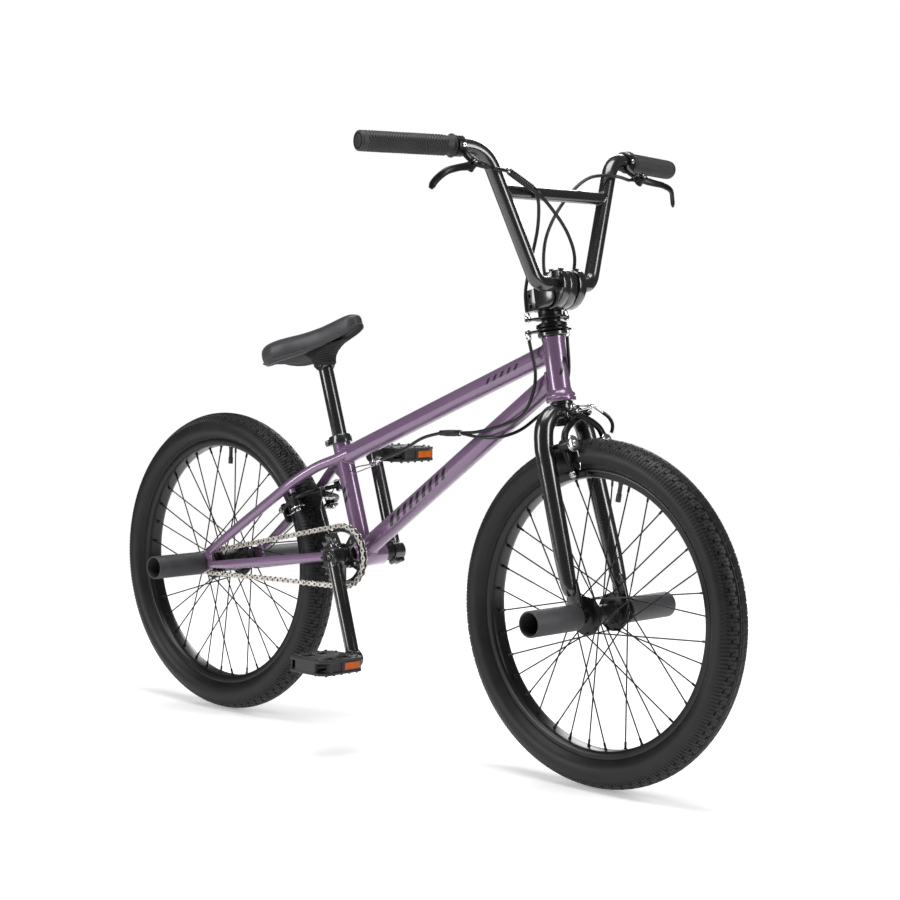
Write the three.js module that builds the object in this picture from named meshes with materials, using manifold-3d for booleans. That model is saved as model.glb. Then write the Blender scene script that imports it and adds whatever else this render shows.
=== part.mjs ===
// A 20-inch freestyle BMX bike with gyro rear brake, front U-brake and four pegs.
// Millimetres. X points forward, Y to the rider's left, Z up. The origin is on the ground,
// midway between the wheel axles.

import * as THREE from 'three';
import { mergeVertices } from 'three/addons/utils/BufferGeometryUtils.js';
import Module from 'manifold-3d';

const wasm = await Module();
wasm.setup();

// ---------------------------------------------------------------- driving dimensions

const GAP = 0.3;
const WHEELBASE = 825;
const REAR_X = -WHEELBASE / 2;
const FRONT_X = WHEELBASE / 2;

const TYRE_RADIUS = 254;
const TYRE_HALF_WIDTH = 29;
const TYRE_HEIGHT = 50;
const RIM_BED_RADIUS = 197;
const RIM_FLANGE_RADIUS = 209;
const RIM_HALF_WIDTH = 16;
const SPOKES = 36;
const WHEEL_SIDES = 26;
const FLANGE_RADIUS = 28;
const FLANGE_Y = 31;

const HUB_HALF = { front: 49, rear: 54 };
const DROPOUT_THICKNESS = 6;
const PEG_RADIUS = 19;
const PEG_LENGTH = 100;
const AXLE_RADIUS = 6.5;

const HEAD_ANGLE = THREE.MathUtils.degToRad(79);
const HEAD_BOTTOM = new THREE.Vector3(331.9, 0, 557.5);
const HEAD_LENGTH = 96;
const HEAD_RADIUS = 16.5;
const HEAD_FLARE_RADIUS = 22;
const HEAD_BORE = 15.2;
const STEERER_RADIUS = 14.3;
const RAKE = 21.2;
const AXLE_DROP = -313.3;

const BB = new THREE.Vector3(-76, 0, 296);
const BB_RADIUS = 20;
const BB_HALF = 35;
const SEAT_ANGLE = THREE.MathUtils.degToRad(72);
const SEAT_TUBE_LENGTH = 196;
const SEAT_TUBE_RADIUS = 14.5;
const SEAT_POST_RADIUS = 12;
const SEAT_POST_TOP = 318;
const TOP_TUBE_RADIUS = 14.5;
const DOWN_TUBE_RADIUS = 15.5;
const STAY_RADIUS = 8;

const CHAIN_Y = -47.5;
const CHAIN_PITCH = 12.7;
const SPROCKET_TEETH = 24;
const COG_TEETH = 8;
const PLATE_THICKNESS = 1.6;
const CRANK_LENGTH = 165;
const CRANK_ANGLE = THREE.MathUtils.degToRad(22);
const CRANK_Y = 68;
const CRANK_RADIUS = 11;
const SPINDLE_RADIUS = 9.5;
const PEDAL_Y = 140;

const BAR_RADIUS = 11.1;
const BAR_CLAMP = { x: 35, z: 167 };
const GRIP_INNER = new THREE.Vector3(26.5, 194, 361.3);
const GRIP_OUTER = new THREE.Vector3(-8.3, 343, 366.6);
const GRIP_RADIUS = 15;

const U_BRAKE = { pad: 200, pivot: 245, pivotY: 38, cross: 283, anchor: 291, anchorY: 19 };
const CABLE_RADIUS = 2.5;

// ---------------------------------------------------------------- geometry helpers

const V = (x, y, z) => new THREE.Vector3(x, y, z);

// The straight pieces and bends of a route, met exactly by the stations of a swept tube.
class StationPath extends THREE.Curve {
  constructor(stations) {
    super();
    this.stations = stations;
  }
  getPoint(t, target = new THREE.Vector3()) {
    const last = this.stations.length - 1;
    const index = Math.min(Math.floor(t * last + 1e-6), last);
    const next = Math.min(index + 1, last);
    return target.lerpVectors(this.stations[index], this.stations[next], Math.max(t * last - index, 0));
  }
  getPointAt(t, target) {
    return this.getPoint(t, target);
  }
  getTangent(t, target = new THREE.Vector3()) {
    const last = this.stations.length - 1;
    const index = Math.round(t * last);
    const before = this.stations[Math.max(index - 1, 0)];
    const here = this.stations[index];
    const after = this.stations[Math.min(index + 1, last)];
    const inward = here.clone().sub(before).normalize();
    const outward = after.clone().sub(here).normalize();
    return target.copy(inward.add(outward)).normalize();
  }
  getTangentAt(t, target) {
    return this.getTangent(t, target);
  }
}

// Corner points become a route with round bends of the given reach.
function rounded(points, reach, steps = 4) {
  const stations = [points[0]];
  for (let i = 1; i < points.length - 1; i += 1) {
    const [before, corner, after] = [points[i - 1], points[i], points[i + 1]];
    const room = Math.min(reach, before.distanceTo(corner) * 0.45, after.distanceTo(corner) * 0.45);
    const start = corner.clone().add(before.clone().sub(corner).setLength(room));
    const end = corner.clone().add(after.clone().sub(corner).setLength(room));
    const bend = new THREE.QuadraticBezierCurve3(start, corner, end);
    for (let s = 0; s <= steps; s += 1) {
      stations.push(bend.getPoint(s / steps));
    }
  }
  stations.push(points[points.length - 1]);
  return stations;
}

function smooth(points, steps) {
  return new THREE.CatmullRomCurve3(points, false, 'centripetal').getSpacedPoints(steps);
}

function disc(radius, sides) {
  const corners = [];
  for (let i = 0; i < sides; i += 1) {
    const angle = (i * 2 * Math.PI) / sides;
    corners.push(new THREE.Vector2(radius * Math.cos(angle), radius * Math.sin(angle)));
  }
  return new THREE.Shape(corners);
}

function sweep(stations, radius, sides = 10) {
  const path = new StationPath(stations);
  return new THREE.ExtrudeGeometry(disc(radius, sides), {
    steps: stations.length - 1,
    extrudePath: path,
    bevelEnabled: false,
  });
}

function rod(from, to, radius, sides = 12) {
  const along = to.clone().sub(from);
  const geometry = new THREE.CylinderGeometry(radius, radius, along.length(), sides);
  const turn = new THREE.Quaternion().setFromUnitVectors(V(0, 1, 0), along.clone().normalize());
  geometry.applyQuaternion(turn);
  geometry.translate(...from.clone().add(to).multiplyScalar(0.5).toArray());
  return geometry;
}

// A rod to cut with: its flats, not its corners, stand at the radius.
function cutter(from, to, radius, sides = 16) {
  return rod(from, to, radius / Math.cos(Math.PI / sides), sides);
}

// A profile of [radius, y] points turned about Y, its flats at the stated radii.
function turned(profile, sides = 14) {
  const grow = 1 / Math.cos(Math.PI / sides);
  const outline = profile.map(([r, y]) => new THREE.Vector2(r * grow, y));
  if (THREE.ShapeUtils.area(outline) < 0) {
    outline.reverse();
  }
  return new THREE.LatheGeometry(outline, sides, Math.PI / sides);
}

function ring(inner, outer, low, high, sides = 14) {
  return turned([[inner, low], [outer, low], [outer, high], [inner, high], [inner, low]], sides);
}

// The same turned shapes about Z.
function upright(geometry) {
  return geometry.rotateX(Math.PI / 2);
}

// A flat plate in the XZ plane, its thickness centred on y.
function plateXZ(shape, thickness, y) {
  const geometry = new THREE.ExtrudeGeometry(shape, {
    depth: thickness, bevelEnabled: false, curveSegments: 6,
  });
  return geometry.rotateX(Math.PI / 2).translate(0, y + thickness / 2, 0);
}

function box(x, y, z, sx, sy, sz) {
  return new THREE.BoxGeometry(sx, sy, sz).translate(x, y, z);
}

// ---------------------------------------------------------------- joining and cutting

function solid(geometry) {
  const bare = geometry.clone();
  bare.deleteAttribute('normal');
  bare.deleteAttribute('uv');
  const merged = mergeVertices(bare, 1e-4);
  return new wasm.Manifold(new wasm.Mesh({
    numProp: 3,
    vertProperties: new Float32Array(merged.attributes.position.array),
    triVerts: new Uint32Array(merged.index.array),
  }));
}

function geometryOf(manifold) {
  const mesh = manifold.getMesh();
  const geometry = new THREE.BufferGeometry();
  geometry.setAttribute('position', new THREE.BufferAttribute(new Float32Array(mesh.vertProperties), 3));
  geometry.setIndex(new THREE.BufferAttribute(new Uint32Array(mesh.triVerts), 1));
  return geometry;
}

function join(first, ...others) {
  return geometryOf(others.reduce((sum, next) => sum.add(solid(next)), solid(first)));
}

function cut(body, ...tools) {
  return geometryOf(tools.reduce((rest, tool) => rest.subtract(solid(tool)), solid(body)));
}

// ---------------------------------------------------------------- materials

const FINISHES = {
  mauve: { color: 0x7d5c86, roughness: 0.3, metalness: 0.55 },
  gloss_black: { color: 0x0b0b0c, roughness: 0.2, metalness: 0.2 },
  rubber: { color: 0x1a1a1b, roughness: 0.85, metalness: 0 },
  grip_rubber: { color: 0x2c2c2e, roughness: 0.8, metalness: 0 },
  peg_grey: { color: 0x3d3c3f, roughness: 0.6, metalness: 0.3 },
  black_alloy: { color: 0x121213, roughness: 0.35, metalness: 0.6 },
  steel: { color: 0xb9bbbd, roughness: 0.25, metalness: 1 },
  nickel_chain: { color: 0xc7b9ab, roughness: 0.3, metalness: 1 },
  resin: { color: 0x161617, roughness: 0.6, metalness: 0 },
  cover: { color: 0x2b2b2f, roughness: 0.6, metalness: 0 },
};

const bike = new THREE.Group();

function add(group, name, geometry, finish) {
  const mesh = new THREE.Mesh(geometry, new THREE.MeshStandardMaterial(FINISHES[finish]));
  mesh.name = name;
  group.add(mesh);
  return mesh;
}

const SIDES = [['right', -1], ['left', 1]];

// ---------------------------------------------------------------- frame

const steering = new THREE.Group();
steering.position.copy(HEAD_BOTTOM);
steering.rotation.y = HEAD_ANGLE - Math.PI / 2;
bike.add(steering);
steering.updateMatrixWorld(true);

const headAxis = V(-Math.cos(HEAD_ANGLE), 0, Math.sin(HEAD_ANGLE));
const seatAxis = V(-Math.cos(SEAT_ANGLE), 0, Math.sin(SEAT_ANGLE));
const alongHead = (distance) => HEAD_BOTTOM.clone().addScaledVector(headAxis, distance);
const alongSeat = (distance) => BB.clone().addScaledVector(seatAxis, distance);

// The bodies that other tubes are mitred against, each a gap larger than the real tube.
const headCutter = () => cutter(alongHead(-30), alongHead(HEAD_LENGTH + 30), HEAD_RADIUS + 2 * GAP);
const flareCutter = () => cutter(alongHead(-30), alongHead(19), HEAD_FLARE_RADIUS + 2 * GAP);
const seatCutter = () => cutter(
  alongSeat(-30), alongSeat(SEAT_TUBE_LENGTH + 30), SEAT_TUBE_RADIUS + GAP);
const shellCutter = () => cutter(
  V(BB.x, -BB_HALF - 40, BB.z), V(BB.x, BB_HALF + 40, BB.z), BB_RADIUS + 2 * GAP);

const headProfile = [
  [19.2, 0], [HEAD_FLARE_RADIUS, 0], [HEAD_FLARE_RADIUS, 9], [HEAD_RADIUS, 18],
  [HEAD_RADIUS, HEAD_LENGTH], [HEAD_BORE, HEAD_LENGTH], [HEAD_BORE, 9], [19.2, 8], [19.2, 0],
];
add(steering, 'head_tube', upright(turned(headProfile)), 'mauve');

const topStart = V(-126.5, 0, 448.5);
const topEnd = V(309.5, 0, 628.5);
const topCutter = () => cutter(topStart, topEnd, TOP_TUBE_RADIUS + GAP);
add(bike, 'top_tube',
  cut(rod(topStart, topEnd, TOP_TUBE_RADIUS, 16), headCutter(), seatCutter()), 'mauve');

const downStart = V(-77.5, 0, 301);
const downEnd = V(325.5, 0, 595);
add(bike, 'down_tube',
  cut(rod(downStart, downEnd, DOWN_TUBE_RADIUS, 16), headCutter(), flareCutter(), seatCutter(),
    shellCutter(), topCutter()), 'mauve');

const seatBore = rod(alongSeat(20), alongSeat(SEAT_TUBE_LENGTH + 5), SEAT_POST_RADIUS + 2 * GAP, 18);
add(bike, 'seat_tube',
  cut(rod(alongSeat(0), alongSeat(SEAT_TUBE_LENGTH), SEAT_TUBE_RADIUS, 18), shellCutter(), seatBore),
  'mauve');

add(bike, 'bb_shell',
  ring(17.3, BB_RADIUS, -BB_HALF, BB_HALF).translate(BB.x, 0, BB.z), 'mauve');

// ---- stays and rear dropouts

const seatStayRoute = (s) => smooth([
  V(-133, s * 13, 445), V(-165, s * 21, 432), V(-195, s * 31, 413.5), V(-220, s * 39.5, 395),
  V(-257, s * 46, 368), V(-359, s * 59, 296), V(-390, s * 62, 274),
], 8);
const chainStayRoute = (s) => smooth([
  V(-84, s * 25, 295.5), V(-127, s * 34, 290), V(-187, s * 43, 281), V(-262, s * 51, 270),
  V(-340, s * 58.5, 259), V(-384, s * 62, 254.5),
], 7);

// A rear dropout: a round nose behind the axle, reaching forward between the two stays.
function rearDropout() {
  const shape = new THREE.Shape();
  shape.moveTo(REAR_X + 26, TYRE_RADIUS - 8);
  shape.lineTo(REAR_X + 30, TYRE_RADIUS + 6);
  shape.lineTo(REAR_X + 24, TYRE_RADIUS + 24);
  shape.lineTo(REAR_X, TYRE_RADIUS + 15);
  shape.absarc(REAR_X, TYRE_RADIUS, 15, Math.PI / 2, 1.5 * Math.PI, false);
  return shape;
}

for (const [side, s] of SIDES) {
  const plateY = s * (HUB_HALF.rear + GAP + DROPOUT_THICKNESS / 2);
  const brakePost = rod(V(-212, s * U_BRAKE.pivotY, 398), V(-204, s * U_BRAKE.pivotY, 383.4), 5, 8);
  const seatStay = join(sweep(seatStayRoute(s), STAY_RADIUS, 8), brakePost);
  add(bike, `seat_stay_${side}`, cut(seatStay, seatCutter(), topCutter()), 'mauve');

  const bore = rod(V(REAR_X, plateY - 9, TYRE_RADIUS), V(REAR_X, plateY + 9, TYRE_RADIUS),
    AXLE_RADIUS + 2 * GAP, 12);
  const stay = cut(sweep(chainStayRoute(s), STAY_RADIUS, 8), shellCutter());
  const withDropout = join(stay, plateXZ(rearDropout(), DROPOUT_THICKNESS, plateY));
  add(bike, `chain_stay_${side}`,
    cut(withDropout, bore, sweep(seatStayRoute(s), STAY_RADIUS + 2 * GAP, 8)), 'mauve');
}

// ---------------------------------------------------------------- headset and gyro

add(steering, 'headset_bearing_lower', upright(ring(14.7, 18.8, 1, 7.5)), 'steel');
add(steering, 'headset_bearing_upper', upright(ring(14.7, HEAD_FLARE_RADIUS, 96.3, 104)), 'gloss_black');

// The cables end in barrel adjusters on the two ears of each gyro plate.
const LOWER_EARS = [[-26, -24], [5, 26]];
const UPPER_EARS = [[-18, -30], [4, 30]];

function gyroPlate(low, high, ears, tipZ) {
  const plate = upright(ring(14.9, 24, low, high));
  const arms = ears.flatMap(([x, y]) => [
    rod(V(x * 0.6, y * 0.6, (low + high) / 2), V(x, y, (low + high) / 2), (high - low) / 2 - 0.05, 6),
    rod(V(x, y, low), V(x, y, high), 4.5, 10),
    rod(V(x, y, (low + high) / 2), V(x, y, tipZ), 3, 10),
  ]);
  return join(plate, ...arms);
}

add(steering, 'gyro_lower_plate', gyroPlate(104.4, 107.4, LOWER_EARS, 95), 'black_alloy');
add(steering, 'gyro_bearing', upright(turned([
  [14.9, 109.5], [23, 109.5], [23, 115], [18.2, 115], [18.2, 117], [14.9, 117], [14.9, 109.5],
])), 'black_alloy');
const stemSpacer = upright(ring(14.9, 17.5, 124, 134.7));
add(steering, 'gyro_upper_plate', join(gyroPlate(122.3, 125, UPPER_EARS, 134), stemSpacer), 'black_alloy');

// ---------------------------------------------------------------- fork

add(steering, 'fork_steerer', upright(turned([
  [11, -36], [STEERER_RADIUS, -36], [STEERER_RADIUS, -4], [17, -4], [17, -0.6], [STEERER_RADIUS, -0.6],
  [STEERER_RADIUS, 172], [11, 172], [11, -36],
])), 'gloss_black');

const forkLegRoute = (s) => [
  ...smooth([V(0, s * 8, -17), V(0, s * 26, -20), V(-1, s * 43, -36), V(-1, s * 50, -64),
    V(1, s * 51, -92)], 7),
  V(19, s * 57, -283),
];
const FORK_LEG_RADIUS = 14;
const PIVOT_T = 28;
const PIVOT_POST_SHORT = 12.6;
const PIVOT_POST_RADIUS = 5;
const PIVOT_BOSS_RADIUS = 9;
const PIVOT_BOSS_HALF = 12;
const BRAKE_PAD = { y: 23, width: 8, length: 34 };
const BRAKE_ARM_RADIUS = 4.5;

function forkDropout() {
  const shape = new THREE.Shape();
  shape.moveTo(RAKE - 12, -268);
  shape.lineTo(RAKE - 14, AXLE_DROP);
  shape.absarc(RAKE, AXLE_DROP, 14, Math.PI, 2 * Math.PI, false);
  shape.lineTo(RAKE + 10, -268);
  return shape;
}

// The frame of a U-brake: Y across, rho out from the wheel axle, t away from its mounts.
function brakeFrame(axle, rho) {
  const across = V(0, 1, 0);
  const group = new THREE.Group();
  group.position.copy(axle);
  group.quaternion.setFromRotationMatrix(
    new THREE.Matrix4().makeBasis(across, rho, across.clone().cross(rho)));
  group.updateMatrix();
  return group;
}

const forkRho = V(-0.06, 0, 0.998).normalize();
const frontBrake = brakeFrame(V(RAKE, 0, AXLE_DROP), forkRho);
steering.add(frontBrake);
const stayRho = V(0.876, 0, 0.483).normalize();
const rearBrake = brakeFrame(V(REAR_X, 0, TYRE_RADIUS), stayRho);
bike.add(rearBrake);

for (const [side, s] of SIDES) {
  const postStart = V(s * U_BRAKE.pivotY, U_BRAKE.pivot, 0);
  const postEnd = V(s * U_BRAKE.pivotY, U_BRAKE.pivot, PIVOT_T - PIVOT_POST_SHORT);
  const post = rod(postStart, postEnd, PIVOT_POST_RADIUS, 8).applyMatrix4(frontBrake.matrix);
  const plateY = s * (HUB_HALF.front + GAP + DROPOUT_THICKNESS / 2);
  const bore = rod(V(RAKE, plateY - 9, AXLE_DROP), V(RAKE, plateY + 9, AXLE_DROP), AXLE_RADIUS + 2 * GAP, 12);
  const leg = join(sweep(forkLegRoute(s), FORK_LEG_RADIUS, 10), post,
    plateXZ(forkDropout(), DROPOUT_THICKNESS, plateY));
  const steererCutter = cutter(V(0, 0, -60), V(0, 0, 20), 17.6);
  add(steering, `fork_leg_${side}`, cut(leg, steererCutter, bore), 'gloss_black');
}

// ---------------------------------------------------------------- U-brakes

function brakeArm(s, layer) {
  const arm = sweep(smooth([
    V(s * 25, U_BRAKE.pad, layer), V(s * 37, 224, layer), V(s * U_BRAKE.pivotY, U_BRAKE.pivot, layer),
    V(s * 31, 266, layer), V(0, U_BRAKE.cross, layer), V(-s * U_BRAKE.anchorY, U_BRAKE.anchor, layer),
  ], 7), BRAKE_ARM_RADIUS, 7);
  const bossBack = V(s * U_BRAKE.pivotY, U_BRAKE.pivot, -PIVOT_BOSS_HALF);
  const bossFront = V(s * U_BRAKE.pivotY, U_BRAKE.pivot, PIVOT_BOSS_HALF);
  const boss = rod(bossBack, bossFront, PIVOT_BOSS_RADIUS, 12);
  const padWidth = BRAKE_PAD.width;
  const pad = box(s * BRAKE_PAD.y, U_BRAKE.pad, 0, padWidth, padWidth, BRAKE_PAD.length);
  const anchor = rod(V(-s * U_BRAKE.anchorY, U_BRAKE.anchor, layer - 8),
    V(-s * U_BRAKE.anchorY, U_BRAKE.anchor, layer + 8), 5, 8);
  return join(arm, boss, pad, anchor);
}

for (const [side, s] of SIDES) {
  const layer = s * 5.2;
  const front = brakeArm(s, layer).translate(0, 0, PIVOT_T);
  add(frontBrake, `front_brake_arm_${side}`, front, 'black_alloy');
  add(rearBrake, `rear_brake_arm_${side}`, brakeArm(s, layer), 'black_alloy');
}

// ---------------------------------------------------------------- stem and handlebar

// The handlebar's seat in the stem and its faceplate.
function barClampBore() {
  const start = V(BAR_CLAMP.x, -40, BAR_CLAMP.z);
  const end = V(BAR_CLAMP.x, 40, BAR_CLAMP.z);
  return rod(start, end, BAR_RADIUS + 0.4, 20);
}

function stemBody() {
  const side = new THREE.Shape();
  side.moveTo(-20, 135);
  side.lineTo(20, 135);
  side.quadraticCurveTo(32, 138, BAR_CLAMP.x, 146);
  side.lineTo(BAR_CLAMP.x, 188);
  side.lineTo(24, 188);
  side.quadraticCurveTo(6, 186, -4, 174);
  side.lineTo(-20, 172);
  const body = plateXZ(side, 52, 0);
  const pinch = box(-25, 0, 153, 16, 30, 34);
  const steererBore = cutter(V(0, 0, 100), V(0, 0, 200), STEERER_RADIUS + 3 * GAP, 20);
  const clampBore = barClampBore();
  const corners = SIDES.map(([, s]) => box(-32, s * 30, 155, 46, 20, 60));
  const topCap = upright(ring(4, 16, 172.3, 176));
  return join(cut(join(body, pinch), steererBore, clampBore, ...corners), topCap);
}

function faceplate() {
  const side = new THREE.Shape();
  const x = BAR_CLAMP.x + 0.8;
  side.moveTo(x, BAR_CLAMP.z - 21);
  side.lineTo(x + 9, BAR_CLAMP.z - 20);
  side.quadraticCurveTo(x + 21, BAR_CLAMP.z - 12, x + 21, BAR_CLAMP.z);
  side.quadraticCurveTo(x + 21, BAR_CLAMP.z + 12, x + 9, BAR_CLAMP.z + 20);
  side.lineTo(x, BAR_CLAMP.z + 21);
  const clampBore = barClampBore();
  return cut(plateXZ(side, 52, 0), clampBore);
}

add(steering, 'stem', stemBody(), 'gloss_black');
add(steering, 'stem_faceplate', faceplate(), 'gloss_black');

const BAR_LOW = V(33, 59.5, BAR_CLAMP.z);
const BAR_HIGH = GRIP_INNER.clone().lerp(GRIP_OUTER, -0.356);
const mirrored = (p) => V(p.x, -p.y, p.z);
const gripAlong = GRIP_OUTER.clone().sub(GRIP_INNER).normalize();
const barEnd = GRIP_OUTER.clone().addScaledVector(gripAlong, -3);
const barHalf = [V(BAR_CLAMP.x, 25, BAR_CLAMP.z), BAR_LOW, BAR_HIGH, barEnd];
const barRoute = rounded([...barHalf.slice().reverse(), ...barHalf.map(mirrored)], 32, 3);
const crossbarHeight = 298.5;
const crossShare = (crossbarHeight - BAR_LOW.z) / (BAR_HIGH.z - BAR_LOW.z);
const crossEnd = BAR_LOW.clone().lerp(BAR_HIGH, crossShare);
const crossbar = rod(mirrored(crossEnd), crossEnd, 9.5, 10);
add(steering, 'handlebar', join(sweep(barRoute, BAR_RADIUS, 10), crossbar), 'gloss_black');

const LEVER_PIVOT = V(54, 188, 328);
const LEVER_AXIS = V(0.866, 0, 0.5);
const ofSide = (p, s) => V(p.x, s * p.y, p.z);

for (const [side, s] of SIDES) {
  const inner = ofSide(GRIP_INNER, s);
  const outer = ofSide(GRIP_OUTER, s);
  const along = outer.clone().sub(inner).normalize();
  const flangeEnd = inner.clone().addScaledVector(along, 4);
  const boreEnd = outer.clone().addScaledVector(along, -2.4);
  const boreStart = inner.clone().addScaledVector(along, -5);
  const sleeve = join(rod(inner, outer, GRIP_RADIUS, 14), rod(inner, flangeEnd, GRIP_RADIUS + 2.5, 14));
  add(steering, `grip_${side}`, cut(sleeve, cutter(boreStart, boreEnd, BAR_RADIUS + GAP, 14)), 'grip_rubber');

  const clampAt = (offset) => inner.clone().addScaledVector(along, offset);
  const perch = join(
    rod(clampAt(-15), clampAt(-3), 15, 14),
    rod(ofSide(V(32, 182, 352), s), ofSide(V(45, 178, 339), s), 6, 8),
    rod(ofSide(V(44, 179, 340), s), ofSide(V(57, 176, 329), s), 5, 8),
    rod(ofSide(V(57, 178, 329), s), ofSide(V(60, 158, 325), s), 3.6, 8),
  );
  const pivot = ofSide(LEVER_PIVOT, s);
  const boss = (half, radius) => rod(pivot.clone().addScaledVector(LEVER_AXIS, -half),
    pivot.clone().addScaledVector(LEVER_AXIS, half), radius, 12);
  const barBore = cutter(clampAt(-25), clampAt(5), BAR_RADIUS + GAP, 14);
  add(steering, `lever_clamp_${side}`, cut(perch, barBore, boss(9, 7.4)), 'black_alloy');

  const blade = sweep(smooth([
    pivot, ofSide(V(58, 208, 321), s), ofSide(V(61, 230, 314), s), ofSide(V(57, 252, 307), s),
    ofSide(V(47, 272, 295), s),
  ], 7), 4.5, 8);
  add(steering, `brake_lever_${side}`, join(blade, boss(5, 6.5)), 'black_alloy');
}

// ---------------------------------------------------------------- wheels

const tyreProfile = [
  [204, 13.5], [209.6, 13.9], [219, 27.5], [232, TYRE_HALF_WIDTH], [247, 20], [TYRE_RADIUS, 6],
];
const tyreInside = [[248, 8], [224, 24], [209.8, 10.8], [204, 10.5]];
const otherSide = (half) => half.slice().reverse().map(([r, y]) => [r, -y]);
const tyreSection = [
  ...tyreProfile, ...otherSide(tyreProfile), ...tyreInside.slice().reverse().map(([r, y]) => [r, -y]),
  ...tyreInside,
];
const rimSection = [
  [RIM_FLANGE_RADIUS, 14.2], [RIM_FLANGE_RADIUS, RIM_HALF_WIDTH], [200, RIM_HALF_WIDTH],
  [RIM_BED_RADIUS, 11], [RIM_BED_RADIUS, -11], [200, -RIM_HALF_WIDTH],
  [RIM_FLANGE_RADIUS, -RIM_HALF_WIDTH], [RIM_FLANGE_RADIUS, -14.2], [202, -14.2], [202, 14.2],
];
const closed = (profile) => [...profile, profile[0]];

// The bore of a valve stem along a spoke line of the wheel.
function valve(angle, radius, outer, inner) {
  const direction = V(Math.cos(angle), 0, Math.sin(angle));
  return rod(direction.clone().multiplyScalar(inner), direction.multiplyScalar(outer), radius, 8);
}

// Laced spokes from both hub flanges, held together by the row of nipples along the rim bed.
function spokeSet(valveAngle) {
  const spokeEnd = RIM_BED_RADIUS - 1.5;
  const hubEnd = FLANGE_RADIUS + 3.5;
  const lacing = THREE.MathUtils.degToRad(62);
  const parts = [];
  for (let i = 0; i < SPOKES; i += 1) {
    const rimAngle = ((i + 0.5) * 2 * Math.PI) / SPOKES;
    const side = i % 2 === 0 ? 1 : -1;
    const lean = i % 4 < 2 ? 1 : -1;
    const hubAngle = rimAngle + lean * lacing;
    const hubY = side * (FLANGE_Y + lean * 2);
    const hub = V(hubEnd * Math.cos(hubAngle), hubY, hubEnd * Math.sin(hubAngle));
    const rim = V(spokeEnd * Math.cos(rimAngle), side * 1.5, spokeEnd * Math.sin(rimAngle));
    parts.push(rod(hub, rim, 1.1, 3));
  }
  const nipples = ring(RIM_BED_RADIUS - 3.5, RIM_BED_RADIUS - 0.4, -3, 3, WHEEL_SIDES);
  return cut(join(nipples, ...parts), valve(valveAngle, 4, 210, 150));
}

const hubProfile = {
  front: [[7.1, -49], [10, -49], [10, -36], [16, -33], [FLANGE_RADIUS, -32.5], [FLANGE_RADIUS, -29.5],
    [15, -28], [15, 28], [FLANGE_RADIUS, 29.5], [FLANGE_RADIUS, 32.5], [16, 33], [10, 36], [10, 49],
    [7.1, 49]],
  rear: [[7.1, -36], [18, -36], [FLANGE_RADIUS, -32.5], [FLANGE_RADIUS, -29.5], [20, -27], [20, 27],
    [FLANGE_RADIUS, 29.5], [FLANGE_RADIUS, 32.5], [16, 34], [11, 38], [11, 54], [7.1, 54]],
};

const WHEELS = [
  { name: 'front', x: FRONT_X, valveAngle: THREE.MathUtils.degToRad(80) },
  { name: 'rear', x: REAR_X, valveAngle: THREE.MathUtils.degToRad(88) },
];

for (const { name, x, valveAngle } of WHEELS) {
  const wheel = new THREE.Group();
  wheel.position.set(x, 0, TYRE_RADIUS);
  bike.add(wheel);
  add(wheel, `${name}_tyre`, turned(closed(tyreSection), WHEEL_SIDES), 'rubber');
  add(wheel, `${name}_rim`,
    join(turned(closed(rimSection), WHEEL_SIDES), valve(valveAngle, 3, 202, 168)), 'gloss_black');
  add(wheel, `${name}_spokes`, spokeSet(valveAngle), 'gloss_black');
  add(wheel, `${name}_hub`, turned(closed(hubProfile[name]), 16), 'gloss_black');

  const half = HUB_HALF[name];
  const nutStart = half + DROPOUT_THICKNESS + 7.4;
  const nutEnd = nutStart + 9;
  const axleHalf = [[AXLE_RADIUS, nutStart], [10.5, nutStart], [10.5, nutEnd], [AXLE_RADIUS, nutEnd],
    [AXLE_RADIUS, nutEnd + 6], [0, nutEnd + 6]];
  const axleProfile = [
    ...axleHalf.slice().reverse().map(([r, y]) => [r, -y]), ...axleHalf,
  ];
  add(wheel, `${name}_axle`, turned(axleProfile, 12), 'steel');

  for (const [side, s] of SIDES) {
    const start = half + DROPOUT_THICKNESS + 2 * GAP;
    const profile = [[7.1, 0], [PEG_RADIUS, 0], [PEG_RADIUS, PEG_LENGTH], [16.4, PEG_LENGTH], [16.4, 6],
      [7.1, 6], [7.1, 0]].map(([r, y]) => [r, s * (start + y)]);
    add(wheel, `${name}_peg_${side}`, turned(profile, 20), 'peg_grey');
  }
}

// ---------------------------------------------------------------- drive

const pitchRadius = (teeth) => CHAIN_PITCH / (2 * Math.sin(Math.PI / teeth));

function toothed(teeth, x, z) {
  const radius = pitchRadius(teeth);
  const shape = new THREE.Shape();
  for (let i = 0; i < teeth; i += 1) {
    const middle = (i * 2 * Math.PI) / teeth;
    const step = (2 * Math.PI) / teeth;
    [[-0.42, radius - 3.6], [-0.12, radius + 3], [0.12, radius + 3], [0.42, radius - 3.6]]
      .forEach(([share, r], corner) => {
        const angle = middle + share * step;
        const [px, pz] = [x + r * Math.cos(angle), z + r * Math.sin(angle)];
        if (i === 0 && corner === 0) {
          shape.moveTo(px, pz);
        } else {
          shape.lineTo(px, pz);
        }
      });
  }
  return shape;
}

const sprocketCentre = V(BB.x, 0, BB.z);
const cogCentre = V(REAR_X, 0, TYRE_RADIUS);

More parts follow.
